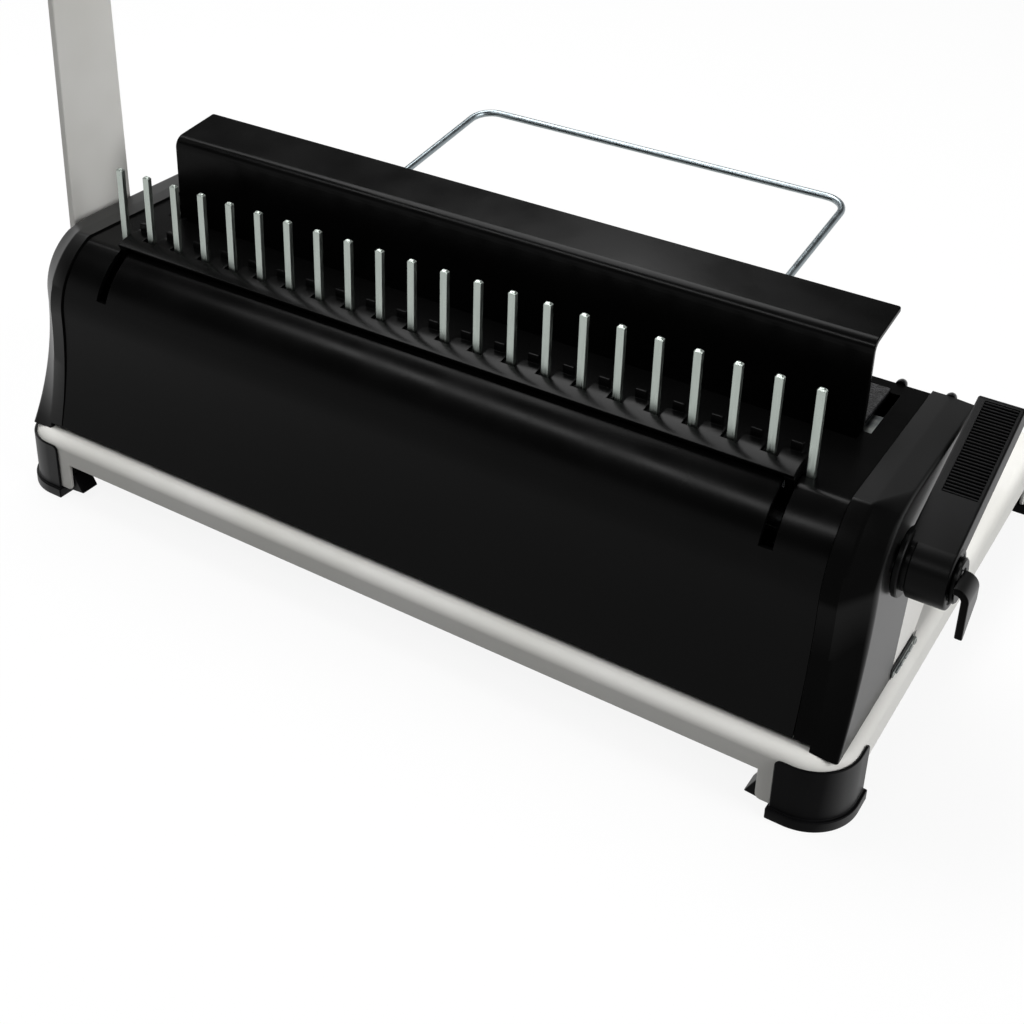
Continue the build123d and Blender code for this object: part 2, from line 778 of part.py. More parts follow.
# Disc and screw that hold the lever on its shaft
with BuildPart() as hub_disc:
    with BuildSketch(cross_plane(lever_outer_x)):
        with Locations((comb_axis_y, comb_axis_z)):
            Circle(hub_disc_r)
    extrude(amount=hub_disc_thickness)
    with BuildSketch(cross_plane(lever_outer_x)):
        with Locations((comb_axis_y, comb_axis_z)):
            Circle(comb_shaft_r)
    extrude(amount=-hub_disc_thickness)
finish(hub_disc, "hub_disc")

# Bent tab on a stub at the hub's outer end
with BuildPart() as size_tab:
    tab_inner_x = lever_outer_x + hub_disc_thickness + tab_gap
    tab_front_y = comb_axis_y + tab_front_offset
    tab_rear_y = tab_front_y + tab_width
    with BuildSketch(Plane.XZ.offset(-tab_front_y)):
        with BuildLine():
            FilletPolyline((tab_inner_x, tab_top_z), (tab_inner_x + tab_reach, tab_top_z),
                           (tab_inner_x + tab_reach, tab_foot_z), radius=tab_bend_r)
            offset(amount=tab_sheet, side=Side.RIGHT)
        make_face()
    extrude(amount=-tab_width)
    with BuildSketch(cross_plane(tab_inner_x)):
        with BuildLine():
            Polyline((tab_rear_y, tab_slant_z), (tab_front_y + tab_toe, tab_foot_z),
                     (tab_front_y + tab_toe, tab_foot_z - cut_margin),
                     (tab_rear_y + cut_margin, tab_foot_z - cut_margin),
                     (tab_rear_y + cut_margin, tab_slant_z), close=True)
        make_face()
    extrude(amount=tab_reach + cut_margin, mode=Mode.SUBTRACT)
finish(size_tab, "size_tab")

# Drive shaft, cranks, crank pins and their sleeves
with BuildPart() as drive_shaft:
    with BuildSketch(cross_plane(-handle_inner_x - handle_sheet)):
        with Locations((drive_axis_y, drive_axis_z)):
            Circle(drive_shaft_r)
    extrude(amount=handle_inner_x + handle_sheet + frame_outer_x)
finish(drive_shaft, "drive_shaft")

with BuildPart() as cranks:
    for start in (crank_inner_x, -crank_inner_x - crank_sheet):
        with BuildSketch(cross_plane(start)):
            with Locations((drive_axis_y, drive_axis_z)):
                Circle(crank_hub_r)
            with Locations((crank_rest_y, crank_rest_z)):
                Circle(crank_eye_r)
            make_hull()
            with Locations((drive_axis_y, drive_axis_z)):
                Circle(drive_shaft_r, mode=Mode.SUBTRACT)
            with Locations((crank_rest_y, crank_rest_z)):
                Circle(crank_pin_r, mode=Mode.SUBTRACT)
        extrude(amount=crank_sheet)
finish(cranks, "cranks")

with BuildPart() as crank_pins:
    for start, direction in ((crank_inner_x + crank_sheet, -1), (-crank_inner_x - crank_sheet, 1)):
        with BuildSketch(cross_plane(start)):
            with Locations((crank_rest_y, crank_rest_z)):
                Circle(crank_pin_r)
        extrude(amount=direction * (crank_inner_x + crank_sheet - yoke_inner_x + crank_pin_end))
finish(crank_pins, "crank_pins")

with BuildPart() as crank_sleeves:
    for start in (yoke_inner_x, -yoke_outer_x):
        with BuildSketch(cross_plane(start)):
            with Locations((crank_rest_y, crank_rest_z)):
                Circle(sleeve_r)
                Circle(crank_pin_r, mode=Mode.SUBTRACT)
        extrude(amount=yoke_sheet)
finish(crank_sleeves, "crank_sleeves")

# Punch bar, the two forks that the crank sleeves push, and the punches
with BuildPart() as punch_bar:
    with BuildSketch(Plane.XY.offset(punch_bar_foot_z)):
        with Locations((0, (punch_bar_front + punch_bar_rear) / 2)):
            Rectangle(2 * yoke_inner_x, punch_bar_depth)
    extrude(amount=bar_top_z - punch_bar_foot_z)
finish(punch_bar, "punch_bar")

with BuildPart() as yokes:
    slot_half = sleeve_r + sleeve_gap
    lowest_sleeve = drive_axis_z - crank_radius - sleeve_r
    fork_top = drive_axis_z - drive_shaft_r - panel_gap
    fork_floor = lowest_sleeve - sleeve_gap
    for start in (yoke_inner_x, -yoke_outer_x):
        with BuildSketch(cross_plane(start)):
            with BuildLine():
                Polyline((punch_bar_front, punch_bar_foot_z), (punch_bar_rear, punch_bar_foot_z),
                         (punch_bar_rear, bar_top_z + panel_gap),
                         (crank_rest_y + slot_half + prong, bar_top_z + panel_gap),
                         (crank_rest_y + slot_half + prong, fork_top),
                         (crank_rest_y + slot_half, fork_top),
                         (crank_rest_y + slot_half, fork_floor),
                         (crank_rest_y - slot_half, fork_floor),
                         (crank_rest_y - slot_half, fork_top),
                         (crank_rest_y - slot_half - prong, fork_top),
                         (punch_bar_front, bar_top_z), close=True)
            make_face()
        extrude(amount=yoke_sheet)
finish(yokes, "yokes")

with BuildPart() as punches:
    with BuildSketch(Plane.XZ.offset(-punch_bar_rear)):
        with Locations(*[(x, punch_z) for x in punch_places]):
            Rectangle(punch_width, punch_height)
    extrude(amount=-(punch_tip_y - punch_bar_rear))
finish(punches, "punches")


# Guide bar in front of the throat and die bar behind it
def hole_bar(name, front, rear, foot, top):
    with BuildPart() as bar:
        with BuildSketch(Plane.XY.offset(foot)):
            with Locations((0, (front + rear) / 2)):
                Rectangle(2 * frame_inner_x, rear - front)
        extrude(amount=top - foot)
        with BuildSketch(Plane.XZ.offset(-front + cut_margin)):
            with Locations(*[(x, punch_z) for x in punch_places]):
                Rectangle(punch_width + 2 * running_gap, punch_height + 2 * running_gap)
        extrude(amount=-(rear - front + 2 * cut_margin), mode=Mode.SUBTRACT)
    finish(bar, name)


hole_bar("guide_bar", guide_front_y, guide_rear_y, bar_foot_z, bar_top_z)
hole_bar("die_bar", throat_rear_y, die_rear_y, bar_foot_z - die_bar_drop, bar_top_z)

with BuildPart() as depth_stop:
    with BuildSketch(Plane.XY.offset(bar_foot_z)):
        with Locations((0, throat_rear_y - neck / 2)):
            Rectangle(2 * throat_half, neck - 2 * running_gap)
    extrude(amount=punch_z - edge_margin - bar_foot_z)
finish(depth_stop, "depth_stop")

with BuildPart() as throat_guide:
    guide_mouth_y = mouth_front + running_gap
    guide_top_z = inner_top_z - running_gap
    with BuildSketch(cross_plane(-throat_half)):
        with BuildLine():
            Polyline((guide_rear_y, bar_top_z), (guide_mouth_y, guide_top_z),
                     (guide_mouth_y - guide_sheet, guide_top_z),
                     (guide_rear_y - guide_sheet, bar_top_z), close=True)
        make_face()
    extrude(amount=2 * throat_half)
finish(throat_guide, "throat_guide")

with BuildPart() as side_stop:
    with BuildSketch(Plane.XY.offset(bar_top_z)):
        with Locations((-throat_half - side_stop_width / 2, throat_rear_y - neck / 2)):
            Rectangle(side_stop_width, neck - 2 * running_gap)
    extrude(amount=inner_top_z - bar_top_z - side_stop_gap)
finish(side_stop, "side_stop")

# Paper plate: an upright sheet bent back at the top
with BuildPart() as paper_plate:
    flange_y = plate_flange_reach * cos(radians(plate_flange_rise))
    flange_z = plate_flange_reach * sin(radians(plate_flange_rise))
    with BuildSketch(cross_plane(-plate_half_length)):
        with BuildLine():
            FilletPolyline((throat_rear_y, bar_top_z), (throat_rear_y, plate_top_z),
                           (throat_rear_y + flange_y, plate_top_z + flange_z),
                           radius=plate_bend_r)
            offset(amount=plate_sheet, side=Side.RIGHT)
        make_face()
    extrude(amount=2 * plate_half_length)
    corners = paper_plate.edges().filter_by(Axis.Z, tolerance=15).sort_by(Axis.Y)[-2:]
    fillet(corners, plate_corner)
finish(paper_plate, "paper_plate")

# Textured strip set into the top behind the paper plate
with BuildPart() as top_insert:
    with BuildSketch(Plane.XY.offset(top_z + insert_proud)):
        with Locations((0, (insert_front_y + insert_rear_y) / 2)):
            Rectangle(2 * (insert_half_length - insert_gap),
                      insert_rear_y - insert_front_y - 2 * insert_gap)
    extrude(amount=-insert_sheet)
finish(top_insert, "top_insert")


# Zinc-plated angles that tie the paper plate to the side frames
def plate_bracket(name, right):
    with BuildPart() as bracket:
        with BuildSketch(cross_plane(bracket_inner_x)):
            with BuildLine():
                Polyline((plate_rear_y, bracket_foot_z), (plate_rear_y, bracket_top_z),
                         (plate_rear_y + bracket_depth, bracket_top_z),
                         (plate_rear_y + bracket_depth, bracket_top_z - bracket_sheet),
                         (plate_rear_y + bracket_sheet, bracket_top_z - bracket_sheet),
                         (plate_rear_y + bracket_sheet, bracket_foot_z), close=True)
            make_face()
        extrude(amount=frame_inner_x - bracket_inner_x)
    place_side(bracket, name, right)


plate_bracket("plate_bracket_right", True)
plate_bracket("plate_bracket_left", False)

# Punch handle, its grip and its nut, outside the left end cover
with BuildPart() as punch_handle:
    with BuildSketch(cross_plane(-handle_inner_x - handle_sheet)):
        with Locations((drive_axis_y, drive_axis_z)):
            Circle(handle_width / 2)
        with BuildLine():
            Polyline((drive_axis_y - handle_width / 2, drive_axis_z),
                     (drive_axis_y - handle_top_width / 2, handle_top_z),
                     (drive_axis_y + handle_top_width / 2, handle_top_z),
                     (drive_axis_y + handle_width / 2, drive_axis_z), close=True)
        make_face()
        with Locations((drive_axis_y, drive_axis_z)):
            Circle(drive_shaft_r, mode=Mode.SUBTRACT)
    extrude(amount=handle_sheet)
    fillet(punch_handle.edges().filter_by(Axis.X).sort_by(Axis.Z)[-2:], plate_bend_r)
finish(punch_handle, "punch_handle")

with BuildPart() as handle_grip:
    grip_z = handle_top_z + grip_overhang - grip_length
    grip_x = -handle_inner_x - handle_sheet / 2
    with BuildSketch(Plane.XY.offset(grip_z)):
        with Locations((grip_x, drive_axis_y)):
            RectangleRounded(grip_depth, grip_width, grip_corner)
    extrude(amount=grip_length)
    fillet(handle_grip.edges().group_by(Axis.Z)[-1], grip_top_radius)
    fillet(handle_grip.edges().group_by(Axis.Z)[0], grip_foot_radius)
    add(punch_handle.part, mode=Mode.SUBTRACT)
finish(handle_grip, "handle_grip")

with BuildPart() as handle_nut:
    with BuildSketch(cross_plane(-handle_inner_x - handle_sheet)):
        with Locations((drive_axis_y, drive_axis_z)):
            RegularPolygon(handle_nut_r, 6)
    extrude(amount=-handle_nut_height)
    fillet(handle_nut.edges().group_by(Axis.X)[0], handle_nut_edge)
finish(handle_nut, "handle_nut")

with BuildPart() as handle_spacer:
    with BuildSketch(cross_plane(-frame_outer_x - spacer_gap)):
        with Locations((drive_axis_y, drive_axis_z)):
            Circle(drive_shaft_r + spacer_wall)
            Circle(drive_shaft_r, mode=Mode.SUBTRACT)
    extrude(amount=-(end_cover_x - end_side_wall - frame_outer_x - 2 * spacer_gap))
finish(handle_spacer, "handle_spacer")

# Wire rest and its two clips behind the machine
rise = tan(radians(wire_slope))
wire_rear_z = wire_pivot_z + (wire_rear_y - wire_pivot_y) * rise
with BuildPart() as wire_rest:
    with BuildLine() as wire_path:
        FilletPolyline((wire_half_width - wire_ear, wire_pivot_y, wire_pivot_z),
                       (wire_half_width, wire_pivot_y, wire_pivot_z),
                       (wire_half_width, wire_rear_y, wire_rear_z),
                       (-wire_half_width, wire_rear_y, wire_rear_z),
                       (-wire_half_width, wire_pivot_y, wire_pivot_z),
                       (-wire_half_width + wire_ear, wire_pivot_y, wire_pivot_z),
                       radius=(2.5 * wire_r, wire_corner, wire_corner, 2.5 * wire_r))
    with BuildSketch(Plane(origin=wire_path.line @ 0, z_dir=wire_path.line % 0)):
        Circle(wire_r)
    sweep()
finish(wire_rest, "wire_rest")

with BuildPart() as wire_clips:
    clip_r = wire_r + clip_wall
    clip_start = wire_half_width - wire_ear - cut_margin
    for start in (clip_start, -clip_start - clip_width):
        with BuildSketch(cross_plane(start)):
            with Locations((wire_pivot_y, wire_pivot_z)):
                Circle(clip_r)
            with BuildLine():
                Polyline((wire_pivot_y, wire_pivot_z + clip_r),
                         (rear_y, top_z - cut_margin), (rear_y, top_z - clip_drop),
                         (wire_pivot_y + clip_r, wire_pivot_z), close=True)
            make_face()
            with Locations((rear_y / 2 - cover_wall, wire_pivot_z)):
                Rectangle(rear_y + 2 * cover_wall, 6 * clip_r, mode=Mode.SUBTRACT)
            with Locations((wire_pivot_y, wire_pivot_z)):
                Circle(wire_r + running_gap, mode=Mode.SUBTRACT)
        extrude(amount=clip_width)
finish(wire_clips, "wire_clips")

# Chip tray under the deck, in two rails, drawn out to the right
with BuildPart() as chip_tray:
    tray_length = tray_right_x - tray_left_x
    tray_centre_x = (tray_left_x + tray_right_x) / 2
    with BuildSketch(Plane.XY.offset(tray_floor_z)):
        with Locations((tray_centre_x, tray_centre_y)):
            Rectangle(tray_length, 2 * tray_half_width)
    extrude(amount=tray_top_z - tray_floor_z)
    with BuildSketch(Plane.XY.offset(tray_top_z - tray_wall)):
        with Locations((tray_centre_x, tray_centre_y)):
            Rectangle(tray_length, 2 * (tray_half_width + tray_flange))
    extrude(amount=tray_wall)
    with BuildSketch(Plane.XY.offset(tray_floor_z)):
        with Locations((tray_right_x, tray_centre_y)):
            Rectangle(2 * (tray_lip_x - tray_right_x), 2 * tray_half_width)
    extrude(amount=tray_wall)
    with BuildSketch(Plane.XY.offset(tray_floor_z)):
        with Locations((tray_lip_x - tray_wall / 2, tray_centre_y)):
            Rectangle(tray_wall, 2 * tray_half_width)
    extrude(amount=(tray_top_z - tray_floor_z) / 2)
    with BuildSketch(Plane.XY.offset(tray_floor_z + tray_wall)):
        with Locations((tray_centre_x, tray_centre_y)):
            Rectangle(tray_length - 2 * tray_wall, 2 * (tray_half_width - tray_wall))
    extrude(amount=tray_top_z, mode=Mode.SUBTRACT)
finish(chip_tray, "chip_tray")

with BuildPart() as tray_rails:
    flange_edge = tray_half_width + tray_flange + rail_gap
    shelf_z = tray_top_z - tray_wall - rail_gap - rail_sheet
    deck_underside = deck_z - base_sheet
    for side in (-1, 1):
        with BuildSketch(cross_plane(tray_left_x)):
            with BuildLine():
                Polyline((tray_centre_y + side * flange_edge, deck_underside),
                         (tray_centre_y + side * (flange_edge + rail_sheet), deck_underside),
                         (tray_centre_y + side * (flange_edge + rail_sheet), shelf_z),
                         (tray_centre_y + side * (tray_half_width + rail_gap), shelf_z),
                         (tray_centre_y + side * (tray_half_width + rail_gap),
                          shelf_z + rail_sheet),
                         (tray_centre_y + side * flange_edge, shelf_z + rail_sheet), close=True)
            make_face()
        extrude(amount=tray_right_x - tray_left_x)
finish(tray_rails, "tray_rails")

# Chip chute behind the die bar
with BuildPart() as chip_chute:
    chute_x = throat_half + chute_sheet
    chute_bend_z = deck_z + chute_lip
    with BuildSketch(cross_plane(-chute_x)):
        with BuildLine():
            Polyline((die_rear_y, bar_top_z), (chip_slot_rear, chute_bend_z),
                     (chip_slot_rear, deck_z), (chip_slot_rear + chute_sheet, deck_z),
                     (chip_slot_rear + chute_sheet, chute_bend_z + chute_sheet / 2),
                     (die_rear_y, bar_top_z + chute_sheet), close=True)
        make_face()
    extrude(amount=2 * chute_x)
finish(chip_chute, "chip_chute")

# Return springs between the punch bar and a cross bar in front of it
spring_length = punch_bar_front - spring_bar_rear
with BuildPart() as spring_bar:
    with BuildSketch(Plane.XY.offset(punch_bar_foot_z)):
        with Locations((0, spring_bar_rear - frame_sheet / 2)):
            Rectangle(2 * frame_inner_x, frame_sheet)
    extrude(amount=spring_bar_height)
finish(spring_bar, "spring_bar")

with BuildPart() as return_springs:
    coil_pitch = (spring_length - 4 * spring_wire_r) / spring_turns
    for side in (-1, 1):
        start = (side * spring_x, spring_bar_rear + 2 * spring_wire_r, punch_z)
        with BuildLine() as coil:
            Helix(pitch=coil_pitch, height=coil_pitch * spring_turns, radius=spring_coil_r,
                  center=start, direction=(0, 1, 0))
        with BuildSketch(Plane(origin=coil.line @ 0, z_dir=coil.line % 0)):
            Circle(spring_wire_r)
        sweep(path=coil.line)
    print("return spring gap between turns", round(coil_pitch - 2 * spring_wire_r, 2))
finish(return_springs, "return_springs")

# Steel clips at the foot of the side panels
with BuildPart() as panel_clips:
    for side in (-1, 1):
        with BuildSketch(cross_plane(side * (end_cover_x + catch_gap))):
            with Locations((catch_centre_y, deck_z + catch_height / 2)):
                Rectangle(catch_length, catch_height)
        extrude(amount=side * catch_sheet)
finish(panel_clips, "panel_clips")

# Screws at the rear edge of the top
with BuildPart() as rear_screws:
    for side in (-1, 1):
        for x in rear_screw_x:
            wall_y = rear_y if x < cover_half_length else rear_y + end_cover_rise
            with BuildSketch(Plane.XZ.offset(-wall_y)):
                with Locations((side * x, rear_screw_z)):
                    Circle(screw_head_r)
            extrude(amount=-screw_head_height)
finish(rear_screws, "rear_screws")
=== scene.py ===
"""Looks of the comb binding machine: finishes, softened edges, small parts, lamps and camera.

X runs along the machine to the right, Y to the back, Z up, as in the CAD frame. Lengths are in
metres, but for those with MM in their name and the arguments that a comment gives in mm.
"""

import json
from math import asin, atan2, copysign, cos, pi, radians, sin

import bmesh
import bpy
from mathutils import Matrix, Vector


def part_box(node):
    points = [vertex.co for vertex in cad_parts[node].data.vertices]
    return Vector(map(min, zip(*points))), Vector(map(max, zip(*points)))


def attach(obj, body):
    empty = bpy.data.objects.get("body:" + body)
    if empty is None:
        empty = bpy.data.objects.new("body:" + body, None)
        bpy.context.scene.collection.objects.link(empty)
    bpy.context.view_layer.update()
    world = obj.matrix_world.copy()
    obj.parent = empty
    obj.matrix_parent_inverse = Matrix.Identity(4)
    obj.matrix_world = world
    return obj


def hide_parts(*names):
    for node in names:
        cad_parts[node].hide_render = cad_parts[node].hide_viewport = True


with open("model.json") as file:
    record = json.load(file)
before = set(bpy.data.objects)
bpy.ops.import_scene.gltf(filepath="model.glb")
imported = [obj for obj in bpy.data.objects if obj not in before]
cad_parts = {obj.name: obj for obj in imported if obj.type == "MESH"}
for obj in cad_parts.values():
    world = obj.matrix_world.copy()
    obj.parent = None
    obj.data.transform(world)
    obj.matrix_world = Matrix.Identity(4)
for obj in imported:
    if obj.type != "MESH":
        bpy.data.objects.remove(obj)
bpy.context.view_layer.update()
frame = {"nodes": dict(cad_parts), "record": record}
nodes = frame["nodes"]
body_of_node = {node: body for body, members in frame["record"]["behaviour"]["bodies"].items()
                for node in members}
MM = 0.001

# Places and sizes that the CAD model fixes
COMB_AXIS = Vector((0, -81.6, 87.5)) * MM
DRIVE_AXIS = Vector((0, -61.3, 66.0)) * MM
PIN_COUNT = 22
PIN_PITCH = 14.2875 * MM
DECK_MM = 28.0
BAND_INNER_MM = 166.02  # inner edge of an end cover's raised band
BAND_STEP_MM = 172.02  # where the raised band ends and the cover starts to fall
BAND_FALL_MM = 10.0  # how far outward it falls
COVER_OUTER_MM = 182.02

# Outline of an end cover at its raised band and at its outer rim, in mm
COVER_TOP_Z = (109.8, 109.1)
COVER_CREASE_Y = (-89.5, -78.6)
COVER_CREASE_SOFT = (1.2, 8.0)
COVER_FRONT_Y = (-108.9, -100.8)
COVER_ROLL_Z = (80.0, 85.0)
COVER_FLARE_Y = (-116.4, -117.0)
COVER_REAR_Y = (-11.3, -11.4)


def linear(code):
    """An sRGB hex colour as linear RGBA."""
    channels = [int(code[i:i + 2], 16) / 255 for i in (1, 3, 5)]
    return tuple(c / 12.92 if c <= 0.04045 else ((c + 0.055) / 1.055) ** 2.4
                 for c in channels) + (1.0,)


def add_node(tree, kind, inputs=(), **settings):
    """Add a node with its settings; inputs are values or sockets by name or number."""
    made = tree.nodes.new(kind)
    for key, value in settings.items():
        setattr(made, key, value)
    for key, value in dict(inputs).items():
        if isinstance(value, bpy.types.NodeSocket):
            tree.links.new(value, made.inputs[key])
        else:
            made.inputs[key].default_value = value
    return made


def new_material(name, colour, roughness, metallic=0.0, specular=0.5):
    """A material with one Principled shader; what is even all over sits on the shader itself."""
    material = bpy.data.materials.new(name)
    material.use_nodes = True
    tree = material.node_tree
    shader = tree.nodes["Principled BSDF"]
    for socket, value in (("Base Color", linear(colour)), ("Roughness", roughness),
                          ("Metallic", metallic), ("Specular IOR Level", specular)):
        shader.inputs[socket].default_value = value
    return material, tree, shader


def speckle(tree, size_mm, detail=2.0, stretch=(1, 1, 1)):
    """Noise with spots of the given size, drawn out along an axis where stretch is under 1."""
    coordinates = add_node(tree, "ShaderNodeTexCoord")
    scaled = add_node(tree, "ShaderNodeMapping", {"Vector": coordinates.outputs["Object"],
                                                  "Scale": stretch})
    return add_node(tree, "ShaderNodeTexNoise",
                    {"Vector": scaled.outputs[0], "Scale": 1 / (size_mm * MM),
                     "Detail": detail}).outputs["Fac"]


def ramp(tree, value, low, high, from_low=0.35, from_high=0.65):
    """A value spread between two numbers."""
    return add_node(tree, "ShaderNodeMapRange",
                    {"Value": value, "From Min": from_low, "From Max": from_high,
                     "To Min": low, "To Max": high}).outputs["Result"]


def tint(tree, shader, value, first, second):
    """Vary the base colour between two hex colours."""
    mixed = add_node(tree, "ShaderNodeMix", {0: value, 6: linear(first), 7: linear(second)},
                     data_type="RGBA")
    tree.links.new(mixed.outputs[2], shader.inputs["Base Color"])


def mottle(tree, shader, size_mm, first, second, detail=2.0):
    """Vary the base colour between two hex colours in blotches of the given size."""
    tint(tree, shader, ramp(tree, speckle(tree, size_mm, detail), 0.0, 1.0), first, second)


def edge_sheen(tree, shader, low, high, from_low, from_high):
    """Let the shine grow where the surface is seen edge on."""
    facing = add_node(tree, "ShaderNodeLayerWeight", {"Blend": 0.5}).outputs["Facing"]
    tree.links.new(ramp(tree, facing, low, high, from_low, from_high),
                   shader.inputs["Specular IOR Level"])


def relief(tree, shader, height, depth_mm, strength):
    """Raise the surface by a height pattern of the given depth."""
    bump = add_node(tree, "ShaderNodeBump", {"Height": height, "Distance": depth_mm * MM,
                                             "Strength": strength})
    tree.links.new(bump.outputs[0], shader.inputs["Normal"])


# Finishes


def powder_coat_light():
    """Polyester powder coat on steel: warm pale grey, fine pebbled skin, soft broad shine."""
    made, tree, shader = new_material("powder_coated_steel_pale", "#e4e3de", 0.48, specular=0.35)
    # The real pebbles are about 0.5 mm; they are drawn at 0.9 mm so that they show in the render.
    pebbles = speckle(tree, 0.9, detail=3.0)
    relief(tree, shader, pebbles, 0.05, 0.55)
    mottle(tree, shader, 38.0, "#e0dfda", "#e7e6e2")
    tree.links.new(ramp(tree, pebbles, 0.42, 0.56), shader.inputs["Roughness"])
    return made


def black_sheet_paint():
    """Baked black enamel on folded sheet steel: deep black with a soft satin shine."""
    made, tree, shader = new_material("black_enamelled_sheet_steel", "#060606", 0.22, specular=0.3)
    shader.inputs["IOR"].default_value = 1.2
    # Orange peel of baked enamel: waves of about 2 mm, only a few microns deep.
    relief(tree, shader, speckle(tree, 2.2, detail=1.0), 0.02, 0.35)
    mottle(tree, shader, 55.0, "#040404", "#060606")
    tree.links.new(ramp(tree, speckle(tree, 24.0, detail=4.0), 0.19, 0.26),
                   shader.inputs["Roughness"])
    return made


def cover_moulding():
    """Glossy black ABS with a fine grain: deep black face on, a grey sheen when seen edge on."""
    made, tree, shader = new_material("black_moulded_abs_covers", "#070707", 0.36)
    shader.inputs["IOR"].default_value = 1.3
    edge_sheen(tree, shader, 0.05, 0.95, 0.2, 0.58)
    relief(tree, shader, speckle(tree, 0.6), 0.02, 0.5)
    mottle(tree, shader, 30.0, "#060606", "#0a0a0a")
    return made


def black_moulding():
    """Injection-moulded black ABS of levers and small parts, with a fine spark-eroded grain."""
    made, tree, shader = new_material("black_moulded_abs", "#060607", 0.34, specular=0.22)
    shader.inputs["IOR"].default_value = 1.25
    # Spark-eroded grain of about 0.3 mm, drawn at 0.6 mm so that it shows.
    relief(tree, shader, speckle(tree, 0.6), 0.02, 0.5)
    mottle(tree, shader, 30.0, "#060606", "#0a0a0b")
    return made


def crinkle_coat():
    """Wrinkle-finish black paint: a dense net of ridges about 1.6 mm apart, dull, with painted
    shade in the hollows and painted light on the crests.
    """
    made, tree, shader = new_material("black_wrinkle_paint", "#0a0a0b", 0.4, specular=0.2)
    coordinates = add_node(tree, "ShaderNodeTexCoord")
    warp = add_node(tree, "ShaderNodeTexNoise", {"Vector": coordinates.outputs["Object"],
                                                 "Scale": 1 / (1.6 * MM), "Detail": 3.0,
                                                 "Distortion": 1.2})
    relief(tree, shader, warp.outputs["Fac"], 1.4, 1.0)
    # The colour follows the ridges' height: painted shade in the hollows, painted light on the
    # crests.
    tint(tree, shader, ramp(tree, warp.outputs["Fac"], 0.0, 1.0, 0.45, 0.6), "#010101", "#29292b")
    return made


def foot_rubber():
    """Moulded black thermoplastic rubber: matt, faintly grained."""
    made, tree, shader = new_material("black_moulded_rubber", "#0a0a0b", 0.46)
    shader.inputs["IOR"].default_value = 1.3
    edge_sheen(tree, shader, 0.08, 0.6, 0.32, 0.52)
    relief(tree, shader, speckle(tree, 0.8), 0.03, 0.4)
    mottle(tree, shader, 12.0, "#080809", "#0d0d0e")
    return made


def bright_steel(name, colour, roughness, streak=(1, 1, 0.06)):
    """Drawn, ground or plated steel: bright, with fine marks drawn out where streak is small."""
    made, tree, shader = new_material(name, colour, roughness, metallic=1.0)
    marks = speckle(tree, 0.5, detail=3.0, stretch=streak)
    relief(tree, shader, marks, 0.012, 0.5)
    tree.links.new(ramp(tree, marks, roughness * 0.8, roughness * 1.3), shader.inputs["Roughness"])
    return made


def zinc_plate():
    """Bright zinc plating on pressed steel: cloudy bluish spangle and a dulled shine."""
    made, tree, shader = new_material("zinc_plated_steel", "#8e9394", 0.36, metallic=1.0)
    clouds = speckle(tree, 5.0, detail=4.0)
    tint(tree, shader, ramp(tree, clouds, 0.0, 1.0), "#7d8283", "#a3a6a2")
    tree.links.new(ramp(tree, clouds, 0.28, 0.46), shader.inputs["Roughness"])
    relief(tree, shader, speckle(tree, 0.9), 0.02, 0.3)
    return made


def black_oxide():
    """Black-oxide steel screws: near black with an oily sheen."""
    made, tree, shader = new_material("black_oxide_steel", "#1b1b1d", 0.32, metallic=0.7)
    relief(tree, shader, speckle(tree, 0.6), 0.015, 0.4)
    return made


def phosphated_steel():
    """Phosphated pressed steel: dark grey, dull, faintly blotched."""
    made, tree, shader = new_material("phosphated_steel", "#3c3e40", 0.55, metallic=0.6)
    mottle(tree, shader, 6.0, "#343638", "#454749", detail=4.0)
    relief(tree, shader, speckle(tree, 0.5), 0.015, 0.4)
    return made


def grip_vinyl():
    """Dipped and moulded black vinyl: soft, dull, with a leathery grain."""
    made, tree, shader = new_material("black_moulded_vinyl", "#131314", 0.55, specular=0.4)
    coordinates = add_node(tree, "ShaderNodeTexCoord")
    cells = add_node(tree, "ShaderNodeTexVoronoi", {"Vector": coordinates.outputs["Object"],
                                                    "Scale": 1 / (1.1 * MM)})
    relief(tree, shader, cells.outputs["Distance"], 0.08, 0.5)
    return made


def sintered_bronze():
    """Sintered bronze bush: dull yellow metal, faintly porous."""
    made, tree, shader = new_material("sintered_bronze", "#b08d57", 0.38, metallic=1.0)
    relief(tree, shader, speckle(tree, 0.4), 0.02, 0.5)
    return made


PALE = powder_coat_light()
BLACK_SHEET = black_sheet_paint()
BLACK_ABS = black_moulding()
COVER_ABS = cover_moulding()
WRINKLE = crinkle_coat()
RUBBER = foot_rubber()
PIN_STEEL = bright_steel("nickel_plated_steel_pins", "#a8b0aa", 0.34)
WIRE_STEEL = bright_steel("zinc_plated_steel_wire", "#858e92", 0.3, streak=(0.1, 0.1, 0.1))
TOOL_STEEL = bright_steel("ground_tool_steel", "#9a9c9e", 0.32, streak=(0.05, 1, 1))
ZINC = zinc_plate()
OXIDE = black_oxide()
VINYL = grip_vinyl()
PHOSPHATED = phosphated_steel()
BRONZE = sintered_bronze()

SLOT_FINISH = {"light_paint": PALE, "black_cover": BLACK_SHEET, "black_plastic": BLACK_ABS,
               "black_steel_paint": BLACK_SHEET, "black_crinkle": WRINKLE,
               "black_oxide": OXIDE, "zinc_plate": ZINC, "bright_wire": WIRE_STEEL,
               "tool_steel": TOOL_STEEL, "grip_rubber": VINYL, "brass": BRONZE}
SLOTS = {entry["node"]: entry["material_slot"] for entry in frame["record"]["subparts"]}

# Making pieces


def mesh_object(name, mesh, finish=None):
    """A mesh as an object, with one finish if it is given."""
    made = bpy.data.objects.new(name, mesh)
    bpy.context.scene.collection.objects.link(made)
    if finish:
        mesh.materials.clear()
        mesh.materials.append(finish)
    return made


